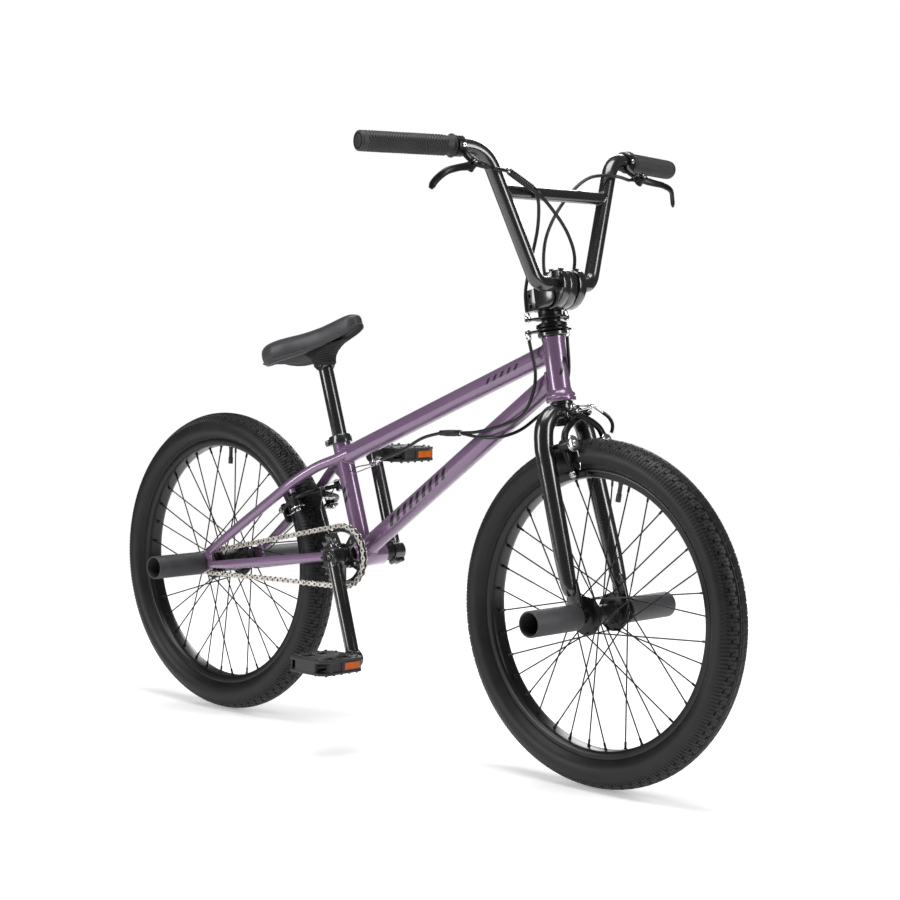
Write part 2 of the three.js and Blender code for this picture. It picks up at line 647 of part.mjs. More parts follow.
function sprocket() {
  const shape = toothed(SPROCKET_TEETH, BB.x, BB.z);
  for (let i = 0; i < 5; i += 1) {
    const middle = (i * 2 * Math.PI) / 5 + 0.3;
    const opening = new THREE.Path();
    const inner = 20;
    const outer = 39;
    opening.moveTo(BB.x + inner * Math.cos(middle), BB.z + inner * Math.sin(middle));
    opening.lineTo(BB.x + outer * Math.cos(middle - 0.46), BB.z + outer * Math.sin(middle - 0.46));
    opening.lineTo(BB.x + (outer + 2) * Math.cos(middle), BB.z + (outer + 2) * Math.sin(middle));
    opening.lineTo(BB.x + outer * Math.cos(middle + 0.46), BB.z + outer * Math.sin(middle + 0.46));
    shape.holes.push(opening);
  }
  const hub = ring(0, 15, CHAIN_Y - 6, CHAIN_Y + 5, 16).translate(BB.x, 0, BB.z);
  const bore = ring(0, SPINDLE_RADIUS + 0.4, CHAIN_Y - 10, CHAIN_Y + 10, 16).translate(BB.x, 0, BB.z);
  return cut(join(plateXZ(shape, 3.2, CHAIN_Y), hub), bore);
}

function rearCog() {
  const sleeve = ring(0, 11, -HUB_HALF.rear + 0.3, -36.5, 14).translate(REAR_X, 0, TYRE_RADIUS);
  const bore = ring(0, 7.1, -60, -30, 16).translate(REAR_X, 0, TYRE_RADIUS);
  return cut(join(plateXZ(toothed(COG_TEETH, REAR_X, TYRE_RADIUS), 3.2, CHAIN_Y), sleeve), bore);
}

const BIG_STEPS = 16;
const SMALL_STEPS = 8;

// The belt line of the chain at a distance from its pitch line, with round ends on both wheels.
function chainLine(offset) {
  const big = pitchRadius(SPROCKET_TEETH) + offset;
  const small = pitchRadius(COG_TEETH) + offset;
  const between = cogCentre.clone().sub(sprocketCentre);
  const heading = Math.atan2(between.z, between.x);
  const spread = Math.acos((big - small) / between.length());
  const points = [];
  const arc = (centre, radius, from, to, steps) => {
    for (let i = 0; i <= steps; i += 1) {
      const angle = from + ((to - from) * i) / steps;
      const x = centre.x + radius * Math.cos(angle);
      const z = centre.z + radius * Math.sin(angle);
      points.push(new THREE.Vector2(x, z));
    }
  };
  arc(sprocketCentre, big, heading + spread, heading - spread + 2 * Math.PI, BIG_STEPS);
  arc(cogCentre, small, heading - spread, heading + spread, SMALL_STEPS);
  return points;
}

function chain() {
  const band = (y) => {
    const shape = new THREE.Shape(chainLine(4.2));
    shape.holes.push(new THREE.Path(chainLine(-4.2)));
    return plateXZ(shape, PLATE_THICKNESS, y);
  };
  const line = chainLine(0);
  // The runs lie between the last point on one wheel and the first on the other.
  const runs = [[line[BIG_STEPS], line[BIG_STEPS + 1]], [line[BIG_STEPS + SMALL_STEPS + 1], line[0]]];
  const rollers = runs.map(([from, to]) => {
    const at = (share) => from.clone().lerp(to, share);
    const normal = to.clone().sub(from).normalize().rotateAround(new THREE.Vector2(), Math.PI / 2);
    const corner = (share, side) => at(share).addScaledVector(normal, side * 3);
    const shape = new THREE.Shape([corner(0.1, -1), corner(0.9, -1), corner(0.9, 1), corner(0.1, 1)]);
    return plateXZ(shape, 6, CHAIN_Y);
  });
  return join(band(CHAIN_Y - 3), band(CHAIN_Y + 3), ...rollers);
}

add(bike, 'chain', chain(), 'nickel_chain');
add(bike, 'rear_cog', rearCog(), 'steel');
add(bike, 'sprocket', sprocket(), 'gloss_black');
add(bike, 'crank_spindle',
  rod(V(BB.x, -79, BB.z), V(BB.x, 79, BB.z), SPINDLE_RADIUS, 16), 'steel');

add(bike, 'bb_cartridge', turned([
  [SPINDLE_RADIUS + 0.4, -34], [17, -34], [17, -26], [13, -26], [13, 26], [17, 26], [17, 34],
  [SPINDLE_RADIUS + 0.4, 34], [SPINDLE_RADIUS + 0.4, -34],
]).translate(BB.x, 0, BB.z), 'steel');

for (const [side, s] of SIDES) {
  const reach = V(-s * CRANK_LENGTH * Math.sin(CRANK_ANGLE), 0, s * CRANK_LENGTH * Math.cos(CRANK_ANGLE));
  const pedalEnd = V(BB.x, 0, BB.z).add(reach);
  const across = (centre, from, to, radius, sides = 16) => rod(
    V(centre.x, s * from, centre.z), V(centre.x, s * to, centre.z), radius, sides);
  const tip = V(pedalEnd.x, s * (CRANK_Y + 13), pedalEnd.z);
  const root = V(BB.x, s * CRANK_Y, BB.z);
  const arm = join(rod(root, tip, CRANK_RADIUS, 14), across(BB, 57, 79, 16), across(pedalEnd, 72, 90, 13));
  const pedalSpindle = join(across(pedalEnd, 80, 181, 6.9), across(pedalEnd, 89, 94, 9.5));
  add(bike, `crank_arm_${side}`,
    join(cut(arm, across(BB, 50, 90, SPINDLE_RADIUS + 0.4)), pedalSpindle), 'gloss_black');

  const outline = new THREE.Shape();
  const [halfX, halfY, chamfer] = [41, 45, 17];
  outline.moveTo(-halfX + chamfer, -halfY);
  outline.lineTo(halfX - chamfer, -halfY);
  outline.lineTo(halfX, -halfY + chamfer);
  outline.lineTo(halfX, halfY - chamfer);
  outline.lineTo(halfX - chamfer, halfY);
  outline.lineTo(-halfX + chamfer, halfY);
  outline.lineTo(-halfX, halfY - chamfer);
  outline.lineTo(-halfX, -halfY + chamfer);
  const slab = new THREE.ExtrudeGeometry(outline, { depth: 26, bevelEnabled: false })
    .translate(pedalEnd.x, s * PEDAL_Y, pedalEnd.z - 13);
  const windows = [-1, 1].map((w) => box(pedalEnd.x + w * 22, s * PEDAL_Y, pedalEnd.z, 14, 50, 60));
  add(bike, `pedal_${side}`, cut(slab, across(pedalEnd, 80, 182.5, 7.6), ...windows), 'resin');
}

// ---------------------------------------------------------------- seat

const seat = new THREE.Group();
seat.position.copy(BB);
seat.rotation.y = SEAT_ANGLE - Math.PI / 2;
bike.add(seat);

const collar = upright(ring(SEAT_TUBE_RADIUS + GAP, 18.5, SEAT_TUBE_LENGTH - 13, SEAT_TUBE_LENGTH));
const collarLug = cut(box(-22, 0, SEAT_TUBE_LENGTH - 6.5, 12, 20, 12),
  upright(ring(0, SEAT_TUBE_RADIUS + GAP, 100, 250)));
add(seat, 'seat_clamp', join(collar, collarLug), 'gloss_black');

const headPin = (radius, half) => rod(V(0, -half, SEAT_POST_TOP), V(0, half, SEAT_POST_TOP), radius, 16);
const post = upright(ring(0, SEAT_POST_RADIUS, 92, SEAT_POST_TOP, 20));
add(seat, 'seat_post', join(post, headPin(SEAT_POST_RADIUS, 13)), 'gloss_black');

const saddle = new THREE.Group();
saddle.position.copy(alongSeat(SEAT_POST_TOP));
saddle.rotation.y = THREE.MathUtils.degToRad(-17);
bike.add(saddle);

function saddlePlan(scale) {
  const right = [[-106, 0], [-101, 38], [-86, 55], [-64, 59], [-34, 47], [2, 29], [42, 20], [78, 15], [90, 8],
    [92, 0]].map(([x, y]) => new THREE.Vector2(x * scale, y * scale));
  const left = right.slice(1, -1).reverse().map((p) => new THREE.Vector2(p.x, -p.y));
  return new THREE.Shape([...right, ...left]);
}

const cushion = new THREE.ExtrudeGeometry(saddlePlan(1), {
  depth: 24, bevelEnabled: true, bevelSize: 3.5, bevelThickness: 4, bevelSegments: 1,
}).translate(0, 0, 27);
add(saddle, 'saddle', cushion, 'cover');

const base = join(
  new THREE.ExtrudeGeometry(saddlePlan(0.8), { depth: 4, bevelEnabled: false }).translate(0, 0, 18.5),
  box(2, 0, 8, 50, 34, 24),
);
add(saddle, 'saddle_base', cut(base, rod(V(0, -16, 0), V(0, 16, 0), SEAT_POST_RADIUS + 0.8, 20),
  box(-3, 0, -10, 36, 26, 20), box(3, 0, -10, 36, 26, 20)), 'resin');

// ---------------------------------------------------------------- brake cables

const cable = (points, steps) => sweep(smooth(points, steps), CABLE_RADIUS, 5);

// Right lever to the splitter, then one housing down each side of the stem to the gyro.
add(steering, 'upper_brake_cable', join(
  cable([V(60.1, -157.2, 324.9), V(61.4, -148, 323.1), V(61, -135, 322.5), V(60, -118, 321)], 4),
  rod(V(60, -120, 321.5), V(56, -62, 297), 5.5, 8),
  cable([V(56.5, -64, 298), V(44, -46, 283), V(26, -34, 250), V(4, -33, 205), V(-13, -33, 165),
    V(-17.7, -30.5, 143), V(-18, -30.2, 134.8)], 9),
  cable([V(56.5, -64, 298), V(52, -30, 276), V(46, 8, 240), V(34, 31, 205), V(16, 33, 165),
    V(4.5, 30.5, 143), V(4, 30.2, 134.8)], 9),
), 'rubber');

// Left lever to the hollow top cap and down inside the steerer to the front brake.
add(steering, 'front_brake_cable', cable([
  V(60.1, 157, 324.8), V(61.2, 149, 323.3), V(56, 128, 329), V(34, 90, 330), V(14, 44, 293),
  V(2, 12, 245), V(0, 0, 205), V(0, 0, 176), V(0, 0, 100), V(0, 0, 30), V(0, 0, -34),
], 14), 'rubber');

// From the lower gyro plate, one housing down each side of the head tube, to the second splitter.
const gyroPort = ([x, y]) => V(x, y, 94.6).applyMatrix4(steering.matrixWorld);
add(bike, 'lower_brake_cable', join(
  cable([gyroPort(LOWER_EARS[0]), V(302, -24, 592), V(289, -23, 551), V(268, -21, 531),
    V(188, -18, 507), V(138, -10, 501.7)], 12),
  cable([gyroPort(LOWER_EARS[1]), V(320, 29, 596), V(308, 27, 560), V(270, 22, 533), V(247, 6, 511),
    V(224, -14, 500), V(188, -19, 498.5), V(138, -10, 501.7)], 14),
  rod(V(141, -10, 501.7), V(97, -10, 499.6), 5.5, 8),
  cable([V(98, -10, 499.6), V(60, -9, 490), V(10, -6, 467), V(-40, -3, 450)], 6),
), 'rubber');

export default bike;
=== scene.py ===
"""Looks of a 20-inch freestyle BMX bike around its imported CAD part. Routes are in millimetres."""
import math

import bmesh
import bpy
import numpy as np
from mathutils import Matrix, Vector


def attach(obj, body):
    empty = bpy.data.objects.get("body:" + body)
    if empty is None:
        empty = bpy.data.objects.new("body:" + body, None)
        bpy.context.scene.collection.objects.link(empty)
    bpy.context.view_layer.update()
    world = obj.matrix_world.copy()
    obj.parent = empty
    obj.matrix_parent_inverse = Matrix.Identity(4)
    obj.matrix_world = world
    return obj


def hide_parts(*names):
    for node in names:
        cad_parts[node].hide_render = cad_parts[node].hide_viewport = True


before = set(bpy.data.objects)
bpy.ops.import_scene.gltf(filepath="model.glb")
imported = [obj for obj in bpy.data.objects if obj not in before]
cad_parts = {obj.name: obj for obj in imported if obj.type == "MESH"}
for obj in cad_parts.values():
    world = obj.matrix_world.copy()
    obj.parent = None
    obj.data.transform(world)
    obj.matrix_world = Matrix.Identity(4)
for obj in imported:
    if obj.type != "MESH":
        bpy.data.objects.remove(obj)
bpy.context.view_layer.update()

MM = 0.001
SIDES = (("right", -1), ("left", 1))

# ---------------------------------------------------------------- the part's own frames


def rad(degrees):
    return math.radians(degrees)


HEAD_ANGLE = rad(79)
HEAD_BOTTOM = np.array([331.9, 0.0, 557.5])
STEER_X = np.array([math.sin(HEAD_ANGLE), 0, math.cos(HEAD_ANGLE)])
STEER_Z = np.array([-math.cos(HEAD_ANGLE), 0, math.sin(HEAD_ANGLE)])
ACROSS = np.array([0.0, 1.0, 0.0])
FRONT_AXLE = np.array([412.5, 0.0, 254.0])
REAR_AXLE = np.array([-412.5, 0.0, 254.0])
BB = np.array([-76.0, 0.0, 296.0])
SEAT_ANGLE = rad(72)
SEAT_AXIS = np.array([-math.cos(SEAT_ANGLE), 0, math.sin(SEAT_ANGLE)])
SEAT_BACK = np.array([math.sin(SEAT_ANGLE), 0, math.cos(SEAT_ANGLE)])
SADDLE_AT = BB + SEAT_AXIS * 318
SADDLE_TILT = rad(17)
RAKE = 21.2
AXLE_DROP = -313.3


def S(x, y, z):
    """A point of the steering frame, whose origin is the foot of the head tube."""
    return HEAD_BOTTOM + STEER_X * x + ACROSS * y + STEER_Z * z


def seat_point(along, back=0.0, y=0.0):
    """A point of the seat tube's frame, whose origin is the middle of the bottom bracket."""
    return BB + SEAT_AXIS * along - SEAT_BACK * back + ACROSS * y


def brake_frame(axle, rho):
    """A wheel's brake frame: y across the wheel, out from the axle along rho, and t square to both."""
    rho = rho / np.linalg.norm(rho)
    away = np.cross(ACROSS, rho)
    return lambda y, out, t: axle + ACROSS * y + rho * out + away * t


FRONT_BRAKE = brake_frame(FRONT_AXLE, STEER_X * -0.06 + STEER_Z * 0.998)
REAR_BRAKE = brake_frame(REAR_AXLE, np.array([0.876, 0, 0.483]))
FRONT_PIVOT_T = 28  # how far the front brake's pivots stand before the line from the axle
PIVOT_Y, PIVOT_OUT = 38, 245
ANCHOR_Y, ANCHOR_OUT = 19, 291  # where an arm's end holds the straddle wire


def saddle_point(x, y, z):
    """A point of the saddle's frame, which is tilted about the head of the post."""
    c, s = math.cos(SADDLE_TILT), math.sin(SADDLE_TILT)
    return SADDLE_AT + np.array([x * c - z * s, y, x * s + z * c])


# ---------------------------------------------------------------- mesh building


def unit(v):
    v = np.asarray(v, float)
    return v / np.linalg.norm(v)


def square_to(axis, hint=None):
    """Two unit vectors square to an axis, the first as near the hint as it can be."""
    axis = unit(axis)
    hint = np.array([0, 0, 1.0]) if hint is None else np.asarray(hint, float)
    if abs(axis @ unit(hint)) > 0.98:
        hint = np.array([1.0, 0, 0])
    first = unit(hint - axis * (hint @ axis))
    return first, np.cross(axis, first)


class Shape:
    """Vertices and faces of one piece, gathered in millimetres."""

    def __init__(self):
        self.verts = []
        self.faces = []
        self.slots = []

    def add(self, verts, faces, slot=0):
        start = len(self.verts)
        self.verts.extend([tuple(v) for v in verts])
        self.faces.extend([tuple(start + i for i in f) for f in faces])
        self.slots.extend([slot] * len(faces))
        return self

    def grid(self, rows, wrap_u=False, wrap_v=True, slot=0, caps=(False, False)):
        """Skin between rows of points: u runs over the rows and v along each row."""
        rows = np.asarray(rows, float)
        nu, nv = rows.shape[:2]
        faces = []
        for i in range(nu if wrap_u else nu - 1):
            k = (i + 1) % nu
            for j in range(nv if wrap_v else nv - 1):
                m = (j + 1) % nv
                faces.append((i * nv + j, i * nv + m, k * nv + m, k * nv + j))
        if caps[0]:
            faces.append(tuple(reversed(range(nv))))
        if caps[1]:
            faces.append(tuple((nu - 1) * nv + j for j in range(nv)))
        return self.add(rows.reshape(-1, 3), faces, slot)

    def sweep(self, path, radius, sides=20, slot=0, flat=1.0, hint=None):
        """A tube along a path. Radius may change along it, and flat narrows it along the hint."""
        path = np.asarray(path, float)
        count = len(path)
        radii = np.broadcast_to(np.asarray(radius, float), (count,))
        flats = np.broadcast_to(np.asarray(flat, float), (count,))
        ahead = np.gradient(path, axis=0)
        first, _ = square_to(ahead[0], hint)
        angles = np.arange(sides) * 2 * math.pi / sides
        rows = []
        for i in range(count):
            axis = unit(ahead[i])
            first = unit(first - axis * (first @ axis))
            second = np.cross(axis, first)
            rows.append([path[i] + radii[i] * (first * math.cos(a) * flats[i] + second * math.sin(a))
                         for a in angles])
        return self.grid(rows, caps=(True, True), slot=slot)

    def rod(self, start, end, radius, sides=20, slot=0, chamfer=0.0):
        """A bar between two points, with a small chamfer at both ends."""
        start, end = np.asarray(start, float), np.asarray(end, float)
        along = unit(end - start)
        if not chamfer:
            return self.sweep([start, end], radius, sides, slot)
        path = [start, start + along * chamfer, end - along * chamfer, end]
        return self.sweep(path, [radius - chamfer, radius, radius, radius - chamfer], sides, slot)

    def lathe(self, profile, origin, axis, sides=48, slot=0, closed=False, wave=None):
        """Points of [radius, height] turned about an axis through the origin."""
        axis = unit(axis)
        first, second = square_to(axis)
        rows = []
        for i in range(sides):
            a = i * 2 * math.pi / sides
            out = first * math.cos(a) + second * math.sin(a)
            rows.append([origin + out * (r + (wave(a, h) if wave else 0)) + axis * h for r, h in profile])
        return self.grid(rows, wrap_u=True, wrap_v=closed, slot=slot)

    def hoop(self, profile, origin, axis, sides=48, slot=0):
        """A lathed ring: its profile is closed, and leaves a hole along the axis."""
        return self.lathe(profile, origin, axis, sides, slot, closed=True)

    def prism(self, outline, place, slot=0, bevel=0.0):
        """A convex or star-shaped outline lifted from h = 0 to h = 1: place(u, v, h) gives points."""
        outline = np.asarray(outline, float)
        middle = outline.mean(axis=0)
        levels = [(0, outline), (1, outline)]
        if bevel:
            reach = np.linalg.norm(outline - middle, axis=1).max()
            shrunk = middle + (outline - middle) * (1 - bevel / reach)
            levels = [(0, shrunk), (bevel, outline), (1 - bevel, outline), (1, shrunk)]
        rows = [[place(u, v, h) for u, v in ring] for h, ring in levels]
        return self.grid(rows, caps=(True, True), slot=slot)

    def ball(self, centre, radius, scale=(1, 1, 1), steps=12):
        profile = [[radius * math.sin(math.pi * i / steps), -radius * math.cos(math.pi * i / steps)]
                   for i in range(steps + 1)]
        start = len(self.verts)
        self.lathe(profile, np.zeros(3), [0, 0, 1], sides=20)
        for i in range(start, len(self.verts)):
            self.verts[i] = tuple(np.asarray(centre) + np.asarray(self.verts[i]) * np.asarray(scale))
        return self

    def bolt(self, at, axis, radius, height, slot=0):
        """A round bolt head with a socket, standing on a point."""
        r = radius
        profile = [[0, -1], [r, -1], [r, height - r * 0.2], [r * 0.85, height], [r * 0.55, height],
                   [r * 0.5, height - r * 0.6], [0, height - r * 0.6]]
        return self.lathe(profile, np.asarray(at, float), axis, sides=18, slot=slot)

    def nut(self, at, axis, radius, height, slot=0):
        """A hexagon nut standing on a point."""
        profile = [[0, 0], [radius, 0], [radius, height * 0.85], [radius * 0.88, height], [0, height]]
        return self.lathe(profile, np.asarray(at, float), axis, sides=6, slot=slot)

    def plate(self, outlines, thickness, place, bevel):
        """A flat plate from a filled 2D curve whose inner outlines are holes: place(u, v, h) gives points."""
        curve = bpy.data.curves.new("outline", "CURVE")
        curve.dimensions = "2D"
        curve.fill_mode = "BOTH"
        curve.extrude = max(thickness / 2 - bevel, 0)
        curve.bevel_depth = bevel
        curve.bevel_resolution = 1
        curve.offset = -bevel
        for outline in outlines:
            spline = curve.splines.new("POLY")
            spline.points.add(len(outline) - 1)
            for point, (u, v) in zip(spline.points, outline):
                point.co = (u, v, 0, 1)
            spline.use_cyclic_u = True
        holder = bpy.data.objects.new("outline", curve)
        bpy.context.scene.collection.objects.link(holder)
        bpy.context.view_layer.update()
        graph = bpy.context.evaluated_depsgraph_get()
        made = bpy.data.meshes.new_from_object(holder.evaluated_get(graph))
        verts = [place(*v.co) for v in made.vertices]
        faces = [tuple(p.vertices) for p in made.polygons]
        bpy.data.objects.remove(holder)
        bpy.data.curves.remove(curve)
        bpy.data.meshes.remove(made)
        return self.add(verts, faces)


def make(name, shape, body, materials, replaces=(), origin=None, crease=38, subdivide=0):
    """The piece as a Blender object: metres, smooth between its sharp edges, riding on a body."""
    materials = materials if isinstance(materials, (list, tuple)) else [materials]
    origin = np.zeros(3) if origin is None else np.asarray(origin, float)
    mesh = bpy.data.meshes.new(name)
    coords = (np.asarray(shape.verts, float) - origin) * MM
    mesh.from_pydata(coords.tolist(), [], shape.faces)
    for m in materials:
        mesh.materials.append(m)
    mesh.polygons.foreach_set("material_index", shape.slots)
    bm = bmesh.new()
    bm.from_mesh(mesh)
    bmesh.ops.remove_doubles(bm, verts=bm.verts, dist=1e-6)
    bmesh.ops.recalc_face_normals(bm, faces=bm.faces)
    limit = rad(crease)
    for face in bm.faces:
        face.smooth = True
    for edge in bm.edges:
        edge.smooth = edge.calc_face_angle(0) < limit
    bm.to_mesh(mesh)
    bm.free()
    piece = bpy.data.objects.new(name, mesh)
    piece.location = Vector(origin * MM)
    bpy.context.scene.collection.objects.link(piece)
    if subdivide:
        modifier = piece.modifiers.new("smooth", "SUBSURF")
        modifier.levels = subdivide
        modifier.render_levels = subdivide
    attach(piece, body)
    if replaces:
        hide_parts(*replaces)
    return piece


def walked(line):
    """The distance along a line to each of its points."""
    return np.r_[0, np.cumsum(np.linalg.norm(np.diff(line, axis=0), axis=1))]


def evenly(line, count, endpoint=True):
    """Points at even distances along a line."""
    lengths = walked(line)
    at = np.linspace(0, lengths[-1], count, endpoint=endpoint)
    return np.stack([np.interp(at, lengths, column) for column in line.T], axis=1)


def changing(count, shares, values):
    """A measure that changes along a route of so many points."""
    return np.interp(np.linspace(0, 1, count), shares, values)


def rounded(points, steps, reach):
    """A route through corner points, with every inner corner rounded over the reach."""
    points = [np.asarray(p, float) for p in points]
    route = [points[0]]
    for before, corner, after in zip(points, points[1:], points[2:]):
        room = min(min(np.linalg.norm(corner - before), np.linalg.norm(after - corner)) * 0.48, reach)
        start = corner + unit(before - corner) * room
        end = corner + unit(after - corner) * room
        for t in np.linspace(0, 1, steps + 1):
            route.append(start * (1 - t) ** 2 + corner * 2 * t * (1 - t) + end * t ** 2)
    route.append(points[-1])
    return np.array(route)


def flowing(points, count):
    """Evenly spaced points of a centripetal Catmull-Rom curve through the given ones."""
    p = [np.asarray(q, float) for q in points]
    p = [2 * p[0] - p[1]] + p + [2 * p[-1] - p[-2]]
    dense = []
    for a, b, c, d in zip(p, p[1:], p[2:], p[3:]):
        t0 = 0
        t1 = t0 + np.linalg.norm(b - a) ** 0.5
        t2 = t1 + np.linalg.norm(c - b) ** 0.5
        t3 = t2 + np.linalg.norm(d - c) ** 0.5
        for t in np.linspace(t1, t2, 24, endpoint=False):
            ab = (t1 - t) / (t1 - t0) * a + (t - t0) / (t1 - t0) * b
            bc = (t2 - t) / (t2 - t1) * b + (t - t1) / (t2 - t1) * c
            cd = (t3 - t) / (t3 - t2) * c + (t - t2) / (t3 - t2) * d
            abc = (t2 - t) / (t2 - t0) * ab + (t - t0) / (t2 - t0) * bc
            bcd = (t3 - t) / (t3 - t1) * bc + (t - t1) / (t3 - t1) * cd
            dense.append((t2 - t) / (t2 - t1) * abc + (t - t1) / (t2 - t1) * bcd)
    dense.append(p[-2])
    return evenly(np.array(dense), count)


def hit(start, heading, axis_at, axis, radius):
    """How far along a line it first meets an endless cylinder."""
    axis = unit(axis)
    d = heading - axis * (heading @ axis)
    m = (start - axis_at) - axis * ((start - axis_at) @ axis)
    a, b, c = d @ d, m @ d, m @ m - radius ** 2
    root = b * b - a * c
    if root < 0:
        return -b / a
    return (-b - math.sqrt(root)) / a


def mitred(shape, start, end, radius, end_cylinder=None, start_cylinder=None, sides=40):
    """A straight tube whose ends fit round other tubes. Returns the two end curves."""
    start, end = np.asarray(start, float), np.asarray(end, float)
    along = unit(end - start)
    first, second = square_to(along)
    middle = (start + end) / 2
    ends = []
    for heading, cylinder, tip in ((-along, start_cylinder, start), (along, end_cylinder, end)):
        ring = []
        for i in range(sides):
            a = i * 2 * math.pi / sides
            line = middle + radius * (first * math.cos(a) + second * math.sin(a))
            reach = abs((tip - middle) @ along)
            if cylinder:
                reach = hit(line, heading, *cylinder)
            ring.append(line + heading * reach)
        ends.append(ring)
    shape.grid(ends, caps=(True, True))
    return ends


BEAD_PITCH = 3.4


def bead(shape, ring, radius=2.0):
    """A weld bead: overlapping ripples along a closed curve."""
    ring = np.asarray(list(ring) + [ring[0]], float)
    count = max(int(walked(ring)[-1] / BEAD_PITCH), 8) * 5
    path = evenly(ring, count, endpoint=False)
    phase = np.arange(count) % 5 / 5
    radii = radius * (0.86 + 0.2 * np.sin(math.pi * phase))
    ahead = np.roll(path, -1, axis=0) - np.roll(path, 1, axis=0)
    centre = path.mean(axis=0)
    rows = []
    for p, r, axis in zip(path, radii, ahead):
        first, second = square_to(axis, p - centre)
        rows.append([p + r * (first * math.cos(a) + second * math.sin(a))
                     for a in np.arange(8) * math.pi / 4])
    return shape.grid(rows, wrap_u=True)


def arc(cx, cy, radius, start, end, count):
    """Points of an arc between two angles in degrees."""
    return [(cx + radius * math.cos(a), cy + radius * math.sin(a))
            for a in np.linspace(rad(start), rad(end), count)]


# ---------------------------------------------------------------- materials


def surface(name, colour, roughness, metallic=0.0, coat=0.0, coat_roughness=0.1, tint=0.12, tint_scale=30,
            rough_spread=0.06, grain="noise", grain_scale=900, grain_height=0.02, grain_strength=0.2,
            specular=0.5, sheen=0.0, flakes=0.0, dust=0.0, glow=0.0):
    """A procedural finish: uneven colour and gloss from noise, and a fine grain as bump."""
    material = bpy.data.materials.new(name)
    material.use_nodes = True
    nodes, links = material.node_tree.nodes, material.node_tree.links
    shader = nodes["Principled BSDF"]
    shader.inputs["Metallic"].default_value = metallic
    shader.inputs["Coat Weight"].default_value = coat
    shader.inputs["Coat Roughness"].default_value = coat_roughness
    shader.inputs["Specular IOR Level"].default_value = specular
    shader.inputs["Sheen Weight"].default_value = sheen
    shader.inputs["Sheen Roughness"].default_value = 0.4
    shader.inputs["Emission Color"].default_value = (1, 1, 1, 1)
    shader.inputs["Emission Strength"].default_value = glow
    place = nodes.new("ShaderNodeTexCoord")
    cloud = nodes.new("ShaderNodeTexNoise")
    cloud.inputs["Scale"].default_value = tint_scale
    cloud.inputs["Detail"].default_value = 5
    links.new(place.outputs["Object"], cloud.inputs["Vector"])
    ramp = nodes.new("ShaderNodeValToRGB")
    dark = [c * (1 - tint) for c in colour]
    light = [min(c * (1 + tint) + dust, 1) for c in colour]
    ramp.color_ramp.elements[0].position = 0.3
    ramp.color_ramp.elements[0].color = (*dark, 1)
    ramp.color_ramp.elements[1].position = 0.72
    ramp.color_ramp.elements[1].color = (*light, 1)
    links.new(cloud.outputs["Fac"], ramp.inputs["Fac"])
    colour_out = ramp.outputs["Color"]
    if flakes:
        cells = nodes.new("ShaderNodeTexVoronoi")
        cells.inputs["Scale"].default_value = 2600
        links.new(place.outputs["Object"], cells.inputs["Vector"])
        mix = nodes.new("ShaderNodeMix")
        mix.data_type = "RGBA"
        mix.blend_type = "OVERLAY"
        mix.inputs["Factor"].default_value = flakes
        links.new(colour_out, mix.inputs["A"])
        grey = nodes.new("ShaderNodeRGBToBW")
        links.new(cells.outputs["Color"], grey.inputs["Color"])
        links.new(grey.outputs["Val"], mix.inputs["B"])
        colour_out = mix.outputs["Result"]
    links.new(colour_out, shader.inputs["Base Color"])
    spread = nodes.new("ShaderNodeMapRange")
    spread.inputs["To Min"].default_value = max(roughness - rough_spread, 0.02)
    spread.inputs["To Max"].default_value = min(roughness + rough_spread, 1)
    links.new(cloud.outputs["Fac"], spread.inputs["Value"])
    links.new(spread.outputs["Result"], shader.inputs["Roughness"])
    if grain_strength:
        kind = {"noise": "ShaderNodeTexNoise", "pebble": "ShaderNodeTexVoronoi"}[grain]
        fine = nodes.new(kind)
        fine.inputs["Scale"].default_value = grain_scale
        links.new(place.outputs["Object"], fine.inputs["Vector"])
        bump = nodes.new("ShaderNodeBump")
        bump.inputs["Strength"].default_value = grain_strength
        bump.inputs["Distance"].default_value = grain_height * MM
        links.new(fine.outputs["Fac" if grain == "noise" else "Distance"], bump.inputs["Height"])
        links.new(bump.outputs["Normal"], shader.inputs["Normal"])
    return material


MAUVE = surface("mauve_paint", (0.19, 0.112, 0.205), 0.3, metallic=0.35, coat=1.0, coat_roughness=0.035,
                tint=0.06, tint_scale=9, rough_spread=0.03, grain_scale=420, grain_height=0.03,
                grain_strength=0.12, flakes=0.25)
GLOSS = surface("gloss_black", (0.0075, 0.0075, 0.008), 0.26, coat=0.8, tint=0.2, tint_scale=14,
                rough_spread=0.05, grain_scale=260, grain_height=0.02, grain_strength=0.08, specular=0.7)
ALLOY = surface("black_anodised", (0.014, 0.014, 0.015), 0.34, metallic=0.55, tint=0.2, tint_scale=40,
                rough_spread=0.08, grain_scale=1500, grain_height=0.02, grain_strength=0.25)
RIM_BLACK = surface("rim_black", (0.011, 0.011, 0.012), 0.3, metallic=0.4, tint=0.2, tint_scale=20,
                    rough_spread=0.06, grain_scale=900, grain_height=0.01, grain_strength=0.15)
SPOKE_BLACK = surface("spoke_black", (0.012, 0.012, 0.013), 0.35, metallic=0.6, tint=0.15, tint_scale=60,
                      grain_strength=0.1)
TYRE = surface("tyre_rubber", (0.0085, 0.0085, 0.0096), 0.48, tint=0.25, tint_scale=45, rough_spread=0.07,
               grain_scale=1300, grain_height=0.06, grain_strength=0.3, dust=0.001, specular=0.3)
GRIP = surface("grip_rubber", (0.024, 0.024, 0.026), 0.6, tint=0.15, tint_scale=60, rough_spread=0.06,
               grain_scale=1600, grain_height=0.05, grain_strength=0.35)
HOUSING = surface("cable_housing", (0.007, 0.007, 0.0075), 0.36, coat=0.1, specular=0.35, tint=0.15,
                  tint_scale=80, grain_scale=700, grain_height=0.02, grain_strength=0.15)
